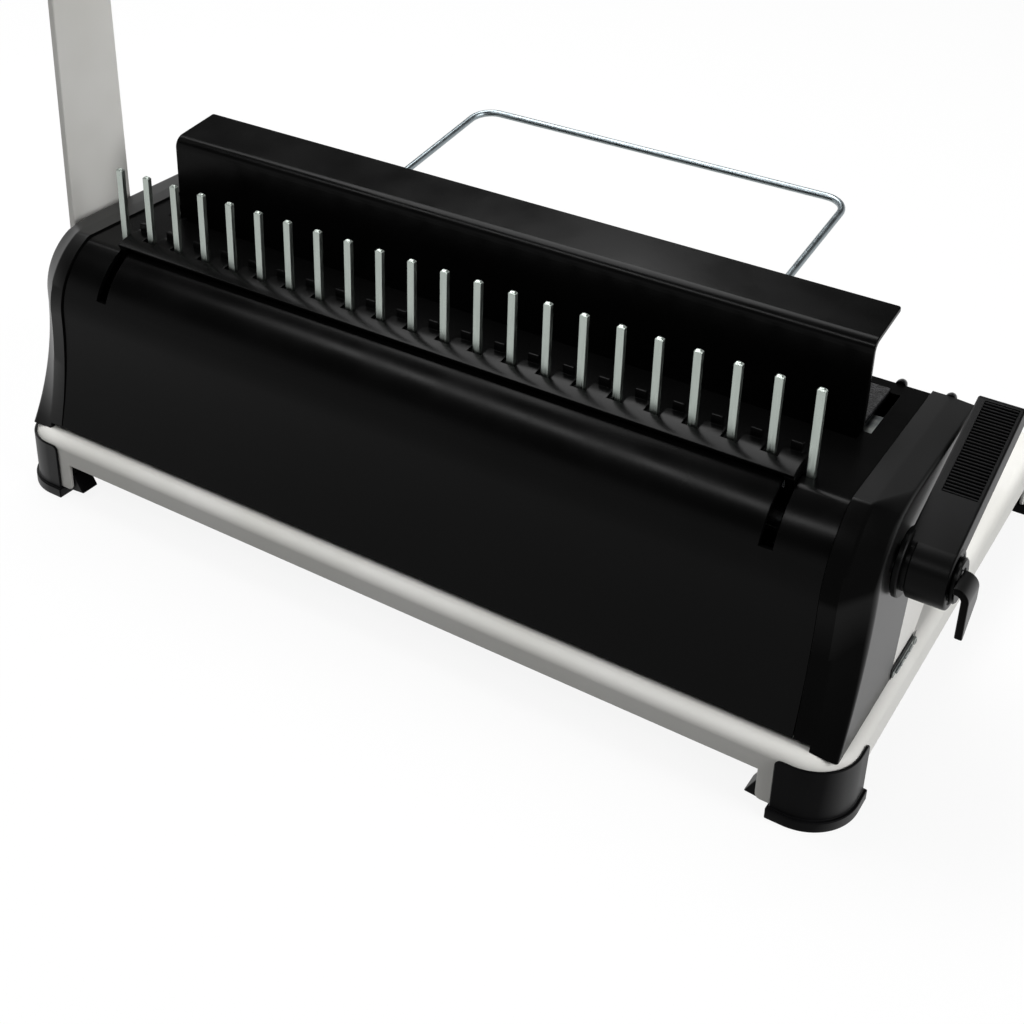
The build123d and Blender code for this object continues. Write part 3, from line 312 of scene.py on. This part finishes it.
def discard(piece):
    """Remove an object with its mesh."""
    mesh = piece.data
    bpy.data.objects.remove(piece)
    if mesh.users == 0:
        bpy.data.meshes.remove(mesh)


def settled(piece, name=None, finish=None):
    """The piece with its modifiers worked in, as a new plain mesh object."""
    graph = bpy.context.evaluated_depsgraph_get()
    mesh = bpy.data.meshes.new_from_object(piece.evaluated_get(graph), depsgraph=graph)
    title = name or piece.name
    discard(piece)
    mesh.name = title
    return mesh_object(title, mesh, finish)


def edge_bevel(piece, width_mm, segments, angle):
    """Bevel the edges sharper than an angle, once the piece is settled."""
    bevel = piece.modifiers.new("edges", "BEVEL")
    bevel.width = width_mm * MM
    bevel.segments = segments
    bevel.limit_method = "ANGLE"
    bevel.angle_limit = radians(angle)


def cut_away(piece, cutter):
    """Take a cutter's volume out of a piece."""
    cut = piece.modifiers.new("cut", "BOOLEAN")
    cut.object = cutter
    cut.operation = "DIFFERENCE"
    cut.solver = "EXACT"
    made = settled(piece)
    discard(cutter)
    return made


def rounded(piece, width_mm, segments=2, angle=28):
    """Round the sharp edges, or keep them at width 0, smooth the rest and settle the mesh."""
    for polygon in piece.data.polygons:
        polygon.use_smooth = True
    if width_mm:
        edge_bevel(piece, width_mm, segments, angle)
    else:
        split = piece.modifiers.new("edges", "EDGE_SPLIT")
        split.split_angle = radians(angle)
    normals = piece.modifiers.new("flats", "WEIGHTED_NORMAL")
    normals.keep_sharp = True
    normals.weight = 80
    return settled(piece)


def place(piece, node_name=None, body=None):
    """Hang a finished piece on its body and hide the CAD node that it stands for."""
    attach(piece, body or body_of_node[node_name])
    if node_name:
        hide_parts(node_name)


def merged_copy(node_name, title):
    """A clean copy of a CAD node's mesh, with shared points and whole flat faces."""
    work = bmesh.new()
    work.from_mesh(nodes[node_name].data)
    bmesh.ops.remove_doubles(work, verts=work.verts, dist=0.002 * MM)
    bmesh.ops.dissolve_limit(work, angle_limit=radians(0.3), verts=work.verts,
                             edges=work.edges, use_dissolve_boundaries=False)
    work.verts.index_update()
    points = [v.co.copy() for v in work.verts]
    faces = [[v.index for v in f.verts] for f in work.faces]
    work.free()
    mesh = bpy.data.meshes.new(title)
    mesh.from_pydata(points, [], faces)
    return mesh


def eased(node_name, width_mm, finish=None, segments=2):
    """The CAD node's shape with its edges rounded as paint or moulding leaves them."""
    title = "soft_" + node_name
    finish = finish or SLOT_FINISH[SLOTS[node_name]]
    piece = mesh_object(title, merged_copy(node_name, title), finish)
    place(rounded(piece, width_mm, segments), node_name)


def object_from(work, title, finish):
    """A work mesh as an object with its faces outward."""
    bmesh.ops.recalc_face_normals(work, faces=work.faces)
    mesh = bpy.data.meshes.new(title)
    work.to_mesh(mesh)
    work.free()
    return mesh_object(title, mesh, finish)


def loft(title, sections, finish):
    """A closed solid through a row of sections with equal counts of points."""
    work = bmesh.new()
    rings = [[work.verts.new(point) for point in section] for section in sections]
    count = len(rings[0])
    for near, far in zip(rings, rings[1:]):
        for k in range(count):
            j = (k + 1) % count
            work.faces.new((near[k], near[j], far[j], far[k]))
    work.faces.new(list(reversed(rings[0])))
    work.faces.new(rings[-1])
    return object_from(work, title, finish)


def prism(title, outline, start, length, finish, plane):
    """A solid with a flat outline of (u, v) points, drawn out along the plane's third axis."""
    sections = [[plane @ Vector((u, v, level)) for u, v in outline]
                for level in (start, start + length)]
    return loft(title, sections, finish)


def oblong(left, low, right, high):
    """The outline of a rectangle."""
    return [(left, low), (right, low), (right, high), (left, high)]


def lathe(title, profile, finish, origin, axis="X", steps=48):
    """A solid of revolution from (distance along the axis, radius) points."""
    work = bmesh.new()
    turn = Matrix.Rotation(radians({"X": 0, "Y": 90, "-X": 180}[axis]), 3, "Z")
    rings = []
    for along, radius in profile:
        angles = [2 * pi * k / steps for k in range(steps)] if radius else [0]
        rings.append([work.verts.new(origin + turn @ Vector((along, radius * cos(a),
                                                             radius * sin(a))))
                      for a in angles])
    for near, far in zip(rings, rings[1:]):
        for k in range(steps):
            j = (k + 1) % steps
            corners = [near[k % len(near)], near[j % len(near)], far[j % len(far)],
                       far[k % len(far)]]
            work.faces.new(list(dict.fromkeys(corners)))
    return object_from(work, title, finish)


def turned(title, profile, finish, origin, axis="X", steps=64):
    """A solid of revolution with smooth flanks and sharp corners."""
    return rounded(lathe(title, profile, finish, origin, axis, steps), 0, angle=35)


def joined(title, pieces, finish):
    """Several objects with plain meshes as one."""
    work = bmesh.new()
    for piece in pieces:
        work.from_mesh(piece.data)
        discard(piece)
    mesh = bpy.data.meshes.new(title)
    work.to_mesh(mesh)
    work.free()
    for polygon in mesh.polygons:
        polygon.material_index = 0
    return mesh_object(title, mesh, finish)


# Repeats, made by Geometry Nodes


def row_tree():
    """Copies of one object along a straight line: a count, a start and a step."""
    tree = bpy.data.node_groups.new("row_of_copies", "GeometryNodeTree")
    face = tree.interface
    for name, kind in (("Count", "NodeSocketInt"), ("Start", "NodeSocketVector"),
                       ("Step", "NodeSocketVector"), ("Copy", "NodeSocketObject"),
                       ("Finish", "NodeSocketMaterial")):
        face.new_socket(name, in_out="INPUT", socket_type=kind)
    face.new_socket("Geometry", in_out="OUTPUT", socket_type="NodeSocketGeometry")
    given = add_node(tree, "NodeGroupInput").outputs
    line = add_node(tree, "GeometryNodeMeshLine", {"Count": given["Count"],
                                                   "Start Location": given["Start"],
                                                   "Offset": given["Step"]}, mode="OFFSET")
    source = add_node(tree, "GeometryNodeObjectInfo", {"Object": given["Copy"]},
                      transform_space="ORIGINAL")
    copies = add_node(tree, "GeometryNodeInstanceOnPoints",
                      {"Points": line.outputs["Mesh"], "Instance": source.outputs["Geometry"]})
    real = add_node(tree, "GeometryNodeRealizeInstances", {"Geometry": copies.outputs[0]})
    dressed = add_node(tree, "GeometryNodeSetMaterial", {"Geometry": real.outputs[0],
                                                         "Material": given["Finish"]})
    add_node(tree, "NodeGroupOutput", {"Geometry": dressed.outputs[0]})
    return tree


ROW = row_tree()


def row(title, copy, count, start, step, finish):
    """A row of copies of an object modelled about the origin, as one plain mesh."""
    carrier = mesh_object(title + "_row", bpy.data.meshes.new(title + "_row"))
    modifier = carrier.modifiers.new("row", "NODES")
    modifier.node_group = ROW
    values = {"Count": count, "Start": tuple(start), "Step": tuple(step), "Copy": copy,
              "Finish": finish}
    for item in ROW.interface.items_tree:
        if item.in_out == "INPUT":
            modifier[item.identifier] = values[item.name]
    carrier.update_tag()
    bpy.context.view_layer.update()
    made = settled(carrier, title, finish)
    discard(copy)
    return made


# Painted steel, with the width of the rounded edges in mm

eased("base_tray", 0.35)
eased("main_cover", 0.35)
eased("rear_cover", 0.3)
eased("paper_plate", 0.45, segments=3)
eased("punch_handle", 0.7, segments=3)

# Mouldings


def cover_section(side, x, inset, foot):
    """Closed outline of an end cover at x, in mm: straight top, soft crease, roll and flare."""
    share = max(0, (x - BAND_STEP_MM) / BAND_FALL_MM)

    def blend(pair):
        return pair[0] + (pair[1] - pair[0]) * share

    top, crease = blend(COVER_TOP_Z) - inset, blend(COVER_CREASE_Y) + inset / 2
    front, roll = blend(COVER_FRONT_Y) + inset, blend(COVER_ROLL_Z)
    flare, rear = blend(COVER_FLARE_Y) + inset, blend(COVER_REAR_Y) - inset
    soft = blend(COVER_CREASE_SOFT)
    roll_r = ((crease - front) ** 2 + (top - roll) ** 2) / (2 * (crease - front))
    flare_r = ((front - flare) ** 2 + (roll - foot) ** 2) / (2 * (front - flare))
    begin = pi - atan2(top - roll, crease - front - roll_r) - soft / roll_r
    joint = (front + roll_r - roll_r * cos(begin), roll + roll_r * sin(begin))
    points = [(rear, foot), (rear, top)]
    crease_steps, roll_steps, flare_steps = 8, 24, 14
    for k in range(crease_steps + 1):
        t = k / crease_steps
        points.append(tuple((1 - t) ** 2 * a + 2 * t * (1 - t) * b + t * t * c for a, b, c in
                            zip((crease + soft, top), (crease, top), joint)))
    for k in range(1, roll_steps + 1):
        a = begin * (1 - k / roll_steps)
        points.append((front + roll_r - roll_r * cos(a), roll + roll_r * sin(a)))
    last = asin((roll - foot) / flare_r)
    points += [(front - flare_r + flare_r * cos(last * k / flare_steps),
                roll - flare_r * sin(last * k / flare_steps)) for k in range(1, flare_steps + 1)]
    return [Vector((side * x, y, z)) * MM for y, z in points]


def side_plane(side):
    """From (y, z, distance outward) in mm on the machine's right (1) or left (-1) to metres."""
    return Matrix(((0, 0, side * MM, 0), (MM, 0, 0, 0), (0, MM, 0, 0), (0, 0, 0, 1)))


def side_panel(node_name, side):
    """Light panel in an end cover's window, with a shadow gap at its front edge and a foot."""
    top, front_foot, front_top, rear_top, rear_foot = 57.4, -65.9, -59.9, -15.6, -45.6
    wall, plate_x, foot_x = 1.5, 180.02, 175.1
    plate = prism("plate", [(front_foot, DECK_MM), (front_top, top), (rear_top, top),
                            (rear_foot, DECK_MM)], plate_x, wall, PALE, side_plane(side))
    foot = prism("foot", oblong(-65.0, DECK_MM, -48.0, DECK_MM + wall), foot_x, 5.0, PALE,
                 side_plane(side))
    panel = joined("soft_" + node_name, [plate, foot], PALE)
    place(rounded(panel, 0.3, 3), node_name)


side_panel("side_panel_right", 1)
side_panel("side_panel_left", -1)


def end_cover(node_name, side, axis, bore_r):
    """Moulded end cover: a raised band, a band that falls to a soft rim, and a flat side."""
    rim, wall, below = 1.4, 2.0, DECK_MM - 2.0
    straight = COVER_OUTER_MM - rim - BAND_STEP_MM
    stations = [(BAND_INNER_MM, 0)]
    stations += [(BAND_STEP_MM + straight * k / 6, 0) for k in range(7)]
    for k in range(1, 8):
        a = radians(90 * k / 7)
        stations.append((COVER_OUTER_MM - rim + rim * sin(a), rim * (1 - cos(a))))
    shell = loft("soft_" + node_name,
                 [cover_section(side, x, inset, DECK_MM) for x, inset in stations], COVER_ABS)
    hollow = loft("hollow", [cover_section(side, x, wall, below) for x in
                             (BAND_INNER_MM - 1, BAND_STEP_MM, BAND_STEP_MM + straight / 2,
                              COVER_OUTER_MM - 2.5)], COVER_ABS)
    band_foot = prism("band_foot", oblong(-130, below, 10, 30.3), BAND_INNER_MM - 1,
                      BAND_STEP_MM - BAND_INNER_MM + 1, COVER_ABS, side_plane(side))
    window_top, rear = 58.8, 5
    window = prism("window", [(-68.1, below), (rear, below), (rear, window_top),
                              (-61.9, window_top), (-68.1, DECK_MM)],
                   COVER_OUTER_MM - 4, 5, COVER_ABS, side_plane(side))
    inner, outer = ((side * COVER_OUTER_MM + reach) * MM for reach in (-5, 5))
    bore = lathe("bore", [(inner, 0), (inner, bore_r), (outer, bore_r), (outer, 0)],
                 COVER_ABS, axis)
    for cutter in (hollow, band_foot, window, bore):
        shell = cut_away(shell, cutter)
    place(rounded(shell, 0.3, angle=33), node_name)


end_cover("right_end_cover", 1, COMB_AXIS, 6.0 * MM)
end_cover("left_end_cover", -1, DRIVE_AXIS, 7.0 * MM)
for corner in ("front_right", "front_left", "rear_right", "rear_left"):
    eased("foot_" + corner, 0.5, RUBBER, segments=3)
eased("chip_tray", 0.3)
eased("size_tab", 0.5, COVER_ABS, segments=3)

# Steelwork

for name, width in (("wire_rest", 0), ("hook_plate", 0.25), ("hook_arms", 0.3),
                    ("plate_bracket_right", 0.25), ("plate_bracket_left", 0.25),
                    ("handle_spacer", 0.3), ("drive_shaft", 0.4), ("comb_shaft", 0.4),
                    ("wire_clips", 0.4), ("tray_rails", 0.2), ("pin_bar", 0.2),
                    ("top_insert", 0.2), ("handle_nut", 0.3)):
    eased(name, width)
for name in ("side_frame_right", "side_frame_left"):
    eased(name, 0.25, PHOSPHATED)


def pins():
    """Upright pins: flat bars with broken corners and a blunt domed tip."""
    low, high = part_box("comb_pins")
    half_width, half_depth, corner = 1.5 * MM, 1.1 * MM, 0.32 * MM
    height = high.z - low.z
    sections = []
    for below_tip, inset in ((height, 0), (0.85 * MM, 0), (0.7 * MM, 0.05 * MM),
                             (0.2 * MM, 0.5 * MM), (0.04 * MM, 0.68 * MM), (0, 0.86 * MM)):
        section = []
        for quarter, (side_x, side_y) in enumerate(((1, 1), (-1, 1), (-1, -1), (1, -1))):
            for k in range(4):
                a = radians(90 * quarter + 30 * k)
                section.append((side_x * (half_width - corner - inset) + corner * cos(a),
                                side_y * (half_depth - corner - inset) + corner * sin(a),
                                height - below_tip))
        sections.append(section)
    pin = rounded(loft("one_pin", sections, PIN_STEEL), 0, angle=60)
    start = (-(PIN_COUNT - 1) / 2 * PIN_PITCH, (low.y + high.y) / 2, low.z)
    place(row("upright_pins", pin, PIN_COUNT, start, (PIN_PITCH, 0, 0), PIN_STEEL), "comb_pins")


pins()


# Comb lever: X across, and from its axis u along the arm and v upward
LEVER_INNER_X = 185.02 * MM
LEVER_OUTER_X = 200.22 * MM
ARM_TOP, ARM_END, ARM_WIDTH = 10.5 * MM, 69.4 * MM, 15.0 * MM
NECK_R = 9.3 * MM
RIB_COUNT, RIB_PITCH, RIB_HEIGHT = 30, 1.43 * MM, 0.7 * MM
RIB_FIELD_END = ARM_END - 2.7 * MM
RIB_FIELD_START = RIB_FIELD_END - RIB_COUNT * RIB_PITCH
RIB_FIELD_X, RIB_FIELD_WIDTH = LEVER_INNER_X + 1.5 * MM, ARM_WIDTH - 3.0 * MM


def lever_arm(plane):
    """The lever's arm, with rounded ends and a shallow pocket for the grip ribs."""
    thick, corner, overhang = 8.5 * MM, 2.2 * MM, 1.4 * MM
    outline = [(0, ARM_TOP - thick)]
    for v, first in ((ARM_TOP - thick + corner, -90), (ARM_TOP - corner, 0)):
        outline += [(ARM_END - corner + corner * cos(radians(first + 15 * k)),
                     v + corner * sin(radians(first + 15 * k))) for k in range(7)]
    outline += [(1.4 * MM, ARM_TOP), (-1.2 * MM, NECK_R)]
    arm = prism("arm", outline, LEVER_INNER_X - overhang, ARM_WIDTH + overhang, BLACK_ABS, plane)
    edge_bevel(arm, 0.7, 3, 40)
    pocket = prism("pocket", oblong(RIB_FIELD_START, ARM_TOP - RIB_HEIGHT,
                                    RIB_FIELD_END, ARM_TOP + 1 * MM),
                   RIB_FIELD_X, RIB_FIELD_WIDTH, BLACK_ABS, plane)
    return rounded(cut_away(arm, pocket), 0)


def grip_ribs(plane, along):
    """The row of blunt ribs in the arm's pocket."""
    half, clear = 0.45 * MM, 0.15 * MM
    flank = [(-half, 0), (-half * 0.8, RIB_HEIGHT * 0.75), (-half * 0.35, RIB_HEIGHT)]
    outline = flank + [(-u, v) for u, v in reversed(flank)]
    rib = prism("rib", [(u, v - RIB_HEIGHT) for u, v in outline], clear,
                RIB_FIELD_WIDTH - 2 * clear, BLACK_ABS, plane.to_3x3().to_4x4())
    start = plane @ Vector((RIB_FIELD_START + RIB_PITCH / 2, ARM_TOP, RIB_FIELD_X))
    return row("ribs", rib, RIB_COUNT, start, along * RIB_PITCH, BLACK_ABS)


def lever_hub():
    """The lever's hub, stepped at its neck, and the collar between it and the cover."""
    inner, outer, shoulder = LEVER_INNER_X, LEVER_OUTER_X, LEVER_INNER_X + 1.9 * MM
    hub_r, collar_r, chamfer = 10.6 * MM, 12.0 * MM, 0.4 * MM
    hub = turned("hub", [(inner, 0), (inner, NECK_R), (shoulder, NECK_R),
                         (shoulder, hub_r - chamfer), (shoulder + chamfer, hub_r),
                         (outer - 0.8 * MM, hub_r), (outer - 0.3 * MM, hub_r - 0.2 * MM),
                         (outer, hub_r - 0.8 * MM), (outer, hub_r - 2.0 * MM),
                         (outer - 0.5 * MM, hub_r - 2.2 * MM), (outer - 0.5 * MM, 0)],
                 BLACK_ABS, COMB_AXIS)
    foot = inner - 2.2 * MM
    collar = turned("collar", [(foot, 0), (foot, collar_r - chamfer), (foot + chamfer, collar_r),
                               (inner - chamfer, collar_r), (inner, collar_r - chamfer),
                               (inner, 0)], BLACK_ABS, COMB_AXIS)
    return [hub, collar]


def lever():
    """Comb lever: a hub with a collar, and an arm with a recessed field of grip ribs."""
    rise = radians(18.0)
    along = Vector((0, cos(rise), sin(rise)))
    up = Vector((0, -sin(rise), cos(rise)))
    turn = Matrix((along, up, Vector((1, 0, 0)))).transposed().to_4x4()
    plane = Matrix.Translation(COMB_AXIS) @ turn
    parts = [lever_arm(plane), grip_ribs(plane, along)] + lever_hub()
    place(joined("lever_moulding", parts, BLACK_ABS), "comb_lever")


lever()


def cross_screw(title, head_r, height, finish):
    """A pan head with a cross recess, standing on the origin with its top towards +X."""
    dome = [(0, 0), (0, 0.96), (0.15, 1), (0.45, 0.97), (0.78, 0.8), (0.95, 0.5), (1, 0)]
    head = lathe(title, [(height * along, head_r * radius) for along, radius in dome], finish,
                 Vector((0, 0, 0)), steps=32)
    arm, slit, deep = head_r * 0.62, head_r * 0.13, height * 0.6
    for turn in (0, 90):
        plane = Matrix.Rotation(radians(90), 4, "Y") @ Matrix.Rotation(radians(turn), 4, "Z")
        cutter = prism("cutter", oblong(-arm, -slit, arm, slit), height - deep, height, finish,
                       plane)
        head = cut_away(head, cutter)
    return rounded(head, 0, angle=35)


def moved(piece, matrix):
    """Put a mesh in its place; the object itself stays at the origin."""
    piece.data.transform(matrix)
    return piece


def hub_end():
    """Disc that closes the hub, with its screw sunk in it."""
    _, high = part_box("hub_disc")
    disc_r, recess_r, inner = 7.7 * MM, 4.6 * MM, LEVER_OUTER_X - 1.9 * MM
    seat = high.x - 0.8 * MM
    disc = turned("disc", [(inner, 0), (inner, 4.2 * MM), (LEVER_OUTER_X, 4.2 * MM),
                           (LEVER_OUTER_X, disc_r - 0.2 * MM), (LEVER_OUTER_X + 0.3 * MM, disc_r),
                           (high.x - 0.5 * MM, disc_r), (high.x, disc_r - 0.5 * MM),
                           (high.x, recess_r), (seat, recess_r - 0.2 * MM), (seat, 0)],
                  BLACK_ABS, COMB_AXIS)
    place(disc, "hub_disc")
    screw = cross_screw("hub_screw", 3.4 * MM, 0.75 * MM, OXIDE)
    moved(screw, Matrix.Translation(COMB_AXIS + Vector((seat, 0, 0))))
    place(screw, body="comb_opener")


hub_end()


def back_screws():
    """Four pan heads on the rear edge of the covers."""
    _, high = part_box("rear_screws")
    head_r, height = 2.1 * MM, 3.4 * MM
    made = []
    for side in (-1, 1):
        for x, wall in ((154.7, -12.1), (172.5, -11.3)):
            spot = Matrix.Translation((side * x * MM, wall * MM, high.z - head_r))
            made.append(moved(cross_screw("head", head_r, height, OXIDE),
                              spot @ Matrix.Rotation(radians(90), 4, "Z")))
    place(joined("screw_heads", made, OXIDE), "rear_screws")


back_screws()


def grip_share(t):
    """Width of the grip at a share t of its height, as a share of its full width."""
    crown, heel = 0.93, 0.03
    groove_start, groove_end, groove_pitch, groove_depth = 0.06, 0.30, 0.04, 0.028
    share = 0.90 + 0.10 * sin(pi * min(1.0, max(0.0, (t - 0.1) / 0.8))) ** 1.5
    if t > crown:
        share *= cos(radians(80) * (t - crown) / (1 - crown)) ** 0.45
    if t < heel:
        share *= 0.93 + 0.07 * sin(radians(90) * t / heel)
    if groove_start < t < groove_end:
        turns = (t - groove_start) / groove_pitch
        share -= groove_depth * (0.5 - 0.5 * cos(2 * pi * turns))
    return share


def grip():
    """Vinyl hand grip: oval sections with a rounded top, a swell and ring grooves at the foot."""
    low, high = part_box("handle_grip")
    centre, half = (low + high) / 2, (high - low) / 2
    steps, levels, squareness = 48, 96, 0.62
    sections = []
    for level in range(levels + 1):
        t = level / levels
        share = grip_share(t)
        section = []
        for k in range(steps):
            c, s = cos(2 * pi * k / steps), sin(2 * pi * k / steps)
            section.append((centre.x + half.x * share * copysign(abs(c) ** squareness, c),
                            centre.y + half.y * share * copysign(abs(s) ** squareness, s),
                            low.z + t * (high.z - low.z)))
        sections.append(section)
    place(rounded(loft("hand_grip", sections, VINYL), 0, angle=50), "handle_grip")


grip()


def catches():
    """Small zinc catches at the foot of the side panels: a strip, an eye and four knuckles, each
    on a thin black plate, a little larger than it, that is painted shade round the catch.
    """
    low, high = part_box("panel_clips")
    centre, half = (low + high) / 2, (high.y - low.y) / 2
    thick, knuckle_start, knuckle_pitch = 0.7 * MM, 4.0 * MM, 4.4 * MM
    made, shade_plates = [], []
    for side in (-1, 1):
        inner = side * (high.x - 1.5 * MM)
        plane = Matrix(((0, 0, side, inner), (1, 0, 0, centre.y), (0, 1, 0, centre.z),
                        (0, 0, 0, 1)))
        reach = half + 0.8 * MM
        # A thin black plate behind each catch, a little larger than it, paints the shade round the
        # catch.
        shade_plates.append(prism("back", oblong(-reach, -1.5 * MM, reach, 2.6 * MM), 0, 0.2 * MM,
                           OXIDE, plane))
        strip = prism("strip", oblong(-half, -1.3 * MM, half - 3 * MM, 1.3 * MM), 0, thick,
                      ZINC, plane)
        made.append(rounded(strip, 0.2))
        for k in range(4):
            spot = Vector((inner + side * thick,
                           centre.y - half + knuckle_start + knuckle_pitch * k, centre.z))
            made.append(turned("knuckle", [(-1.7 * MM, 0), (-1.7 * MM, 0.6 * MM),
                                           (-1.5 * MM, 0.8 * MM), (1.5 * MM, 0.8 * MM),
                                           (1.7 * MM, 0.6 * MM), (1.7 * MM, 0)],
                               ZINC, spot, axis="Y", steps=16))
        made.append(turned("eye", [(0, 0.7 * MM), (0, 1.5 * MM), (1.1 * MM, 1.5 * MM),
                                   (1.3 * MM, 1.2 * MM), (1.3 * MM, 0.8 * MM), (0, 0.7 * MM)],
                           ZINC, Vector((inner, centre.y + half - 1.6 * MM, centre.z)),
                           axis="X" if side > 0 else "-X", steps=24))
    place(joined("panel_catches", made, ZINC), "panel_clips")
    # The black plates of painted shade round the catches hang on the frame.
    place(rounded(joined("catch_backs", shade_plates, OXIDE), 0.05), body="frame")


catches()

# CAD nodes that stay as they are get their finish
for name, node in nodes.items():
    node.data.materials.clear()
    node.data.materials.append(SLOT_FINISH[SLOTS[name]])


# Studio


def stage_floor():
    """A pale sweep that reads white to the camera and in reflections, and keeps a soft shadow."""
    bpy.ops.mesh.primitive_plane_add(size=8.0)
    floor = bpy.context.object
    floor.name = "studio_floor"
    material, tree, shader = new_material("matt_white_paper_sweep", "#505050", 1.0, specular=0.0)
    glow = add_node(tree, "ShaderNodeMath", {0: ray_seen(tree), 1: 0.9}, operation="MULTIPLY")
    tree.links.new(glow.outputs[0], shader.inputs["Emission Strength"])
    shader.inputs["Emission Color"].default_value = (1, 1, 1, 1)
    floor.data.materials.append(material)


def ray_seen(tree):
    """1 for rays from the camera and for what metal and glass show, else 0."""
    path = add_node(tree, "ShaderNodeLightPath").outputs
    first = add_node(tree, "ShaderNodeMath", {0: path["Is Camera Ray"], 1: path["Is Glossy Ray"]},
                     operation="MAXIMUM")
    return add_node(tree, "ShaderNodeMath", {0: first.outputs[0], 1: path["Is Transmission Ray"]},
                    operation="MAXIMUM").outputs[0]


def stage_world():
    """A white wall round the horizon under a dim ceiling; matt surfaces get an even dim light."""
    world = bpy.data.worlds.new("studio")
    bpy.context.scene.world = world
    world.use_nodes = True
    tree = world.node_tree
    background = tree.nodes["Background"]
    direction = add_node(tree, "ShaderNodeTexCoord")
    height = add_node(tree, "ShaderNodeSeparateXYZ", {0: direction.outputs["Generated"]})
    wall = add_node(tree, "ShaderNodeMapRange",
                    {"Value": height.outputs["Z"], "From Min": 0.18, "From Max": 0.42,
                     "To Min": 1.0, "To Max": 0.12}, interpolation_type="SMOOTHSTEP")
    even = 0.05
    mixed = add_node(tree, "ShaderNodeMix", {0: ray_seen(tree), 2: even, 3: wall.outputs[0]})
    tree.links.new(mixed.outputs[0], background.inputs["Strength"])
    background.inputs["Color"].default_value = (1, 1, 1, 1)


def lamp(name, spot, size, watts):
    """A rectangular lamp that points at the middle of the machine."""
    data = bpy.data.lights.new(name, "AREA")
    data.shape = "RECTANGLE"
    data.size, data.size_y = size
    data.energy = watts
    made = bpy.data.objects.new(name, data)
    made.location = spot
    machine = Vector((0, 0, 0.06))
    made.rotation_euler = (machine - Vector(spot)).to_track_quat("-Z", "Y").to_euler()
    bpy.context.scene.collection.objects.link(made)


def camera():
    """The photograph's viewpoint, worked out from the machine's own edges."""
    data = bpy.data.cameras.new("camera")
    data.lens, data.sensor_width = 55.43, 36.0
    data.shift_x, data.shift_y = 0.0021, -0.2422
    made = bpy.data.objects.new("camera", data)
    spot = Vector((285.6, -499.1, 396.2)) * MM
    right = Vector((0.8482, 0.5291, 0.0255))
    down = Vector((0.2573, -0.3694, -0.8929))
    forward = Vector((-0.4630, 0.7639, -0.4495))
    turn = Matrix((right, -down, -forward)).transposed().to_4x4()
    made.matrix_world = Matrix.Translation(spot) @ turn
    bpy.context.scene.collection.objects.link(made)
    bpy.context.scene.camera = made


stage_floor()
stage_world()
lamp("overhead_softbox", (-0.5, 0.28, 1.24), (1.1, 0.7), 19)
lamp("right_softbox", (1.3, -0.1, 0.75), (0.8, 0.8), 14.5)
lamp("key_strip", (-0.38, -0.78, 1.08), (1.0, 0.11), 5.2)
camera()
bpy.context.scene.view_settings.view_transform = "Standard"
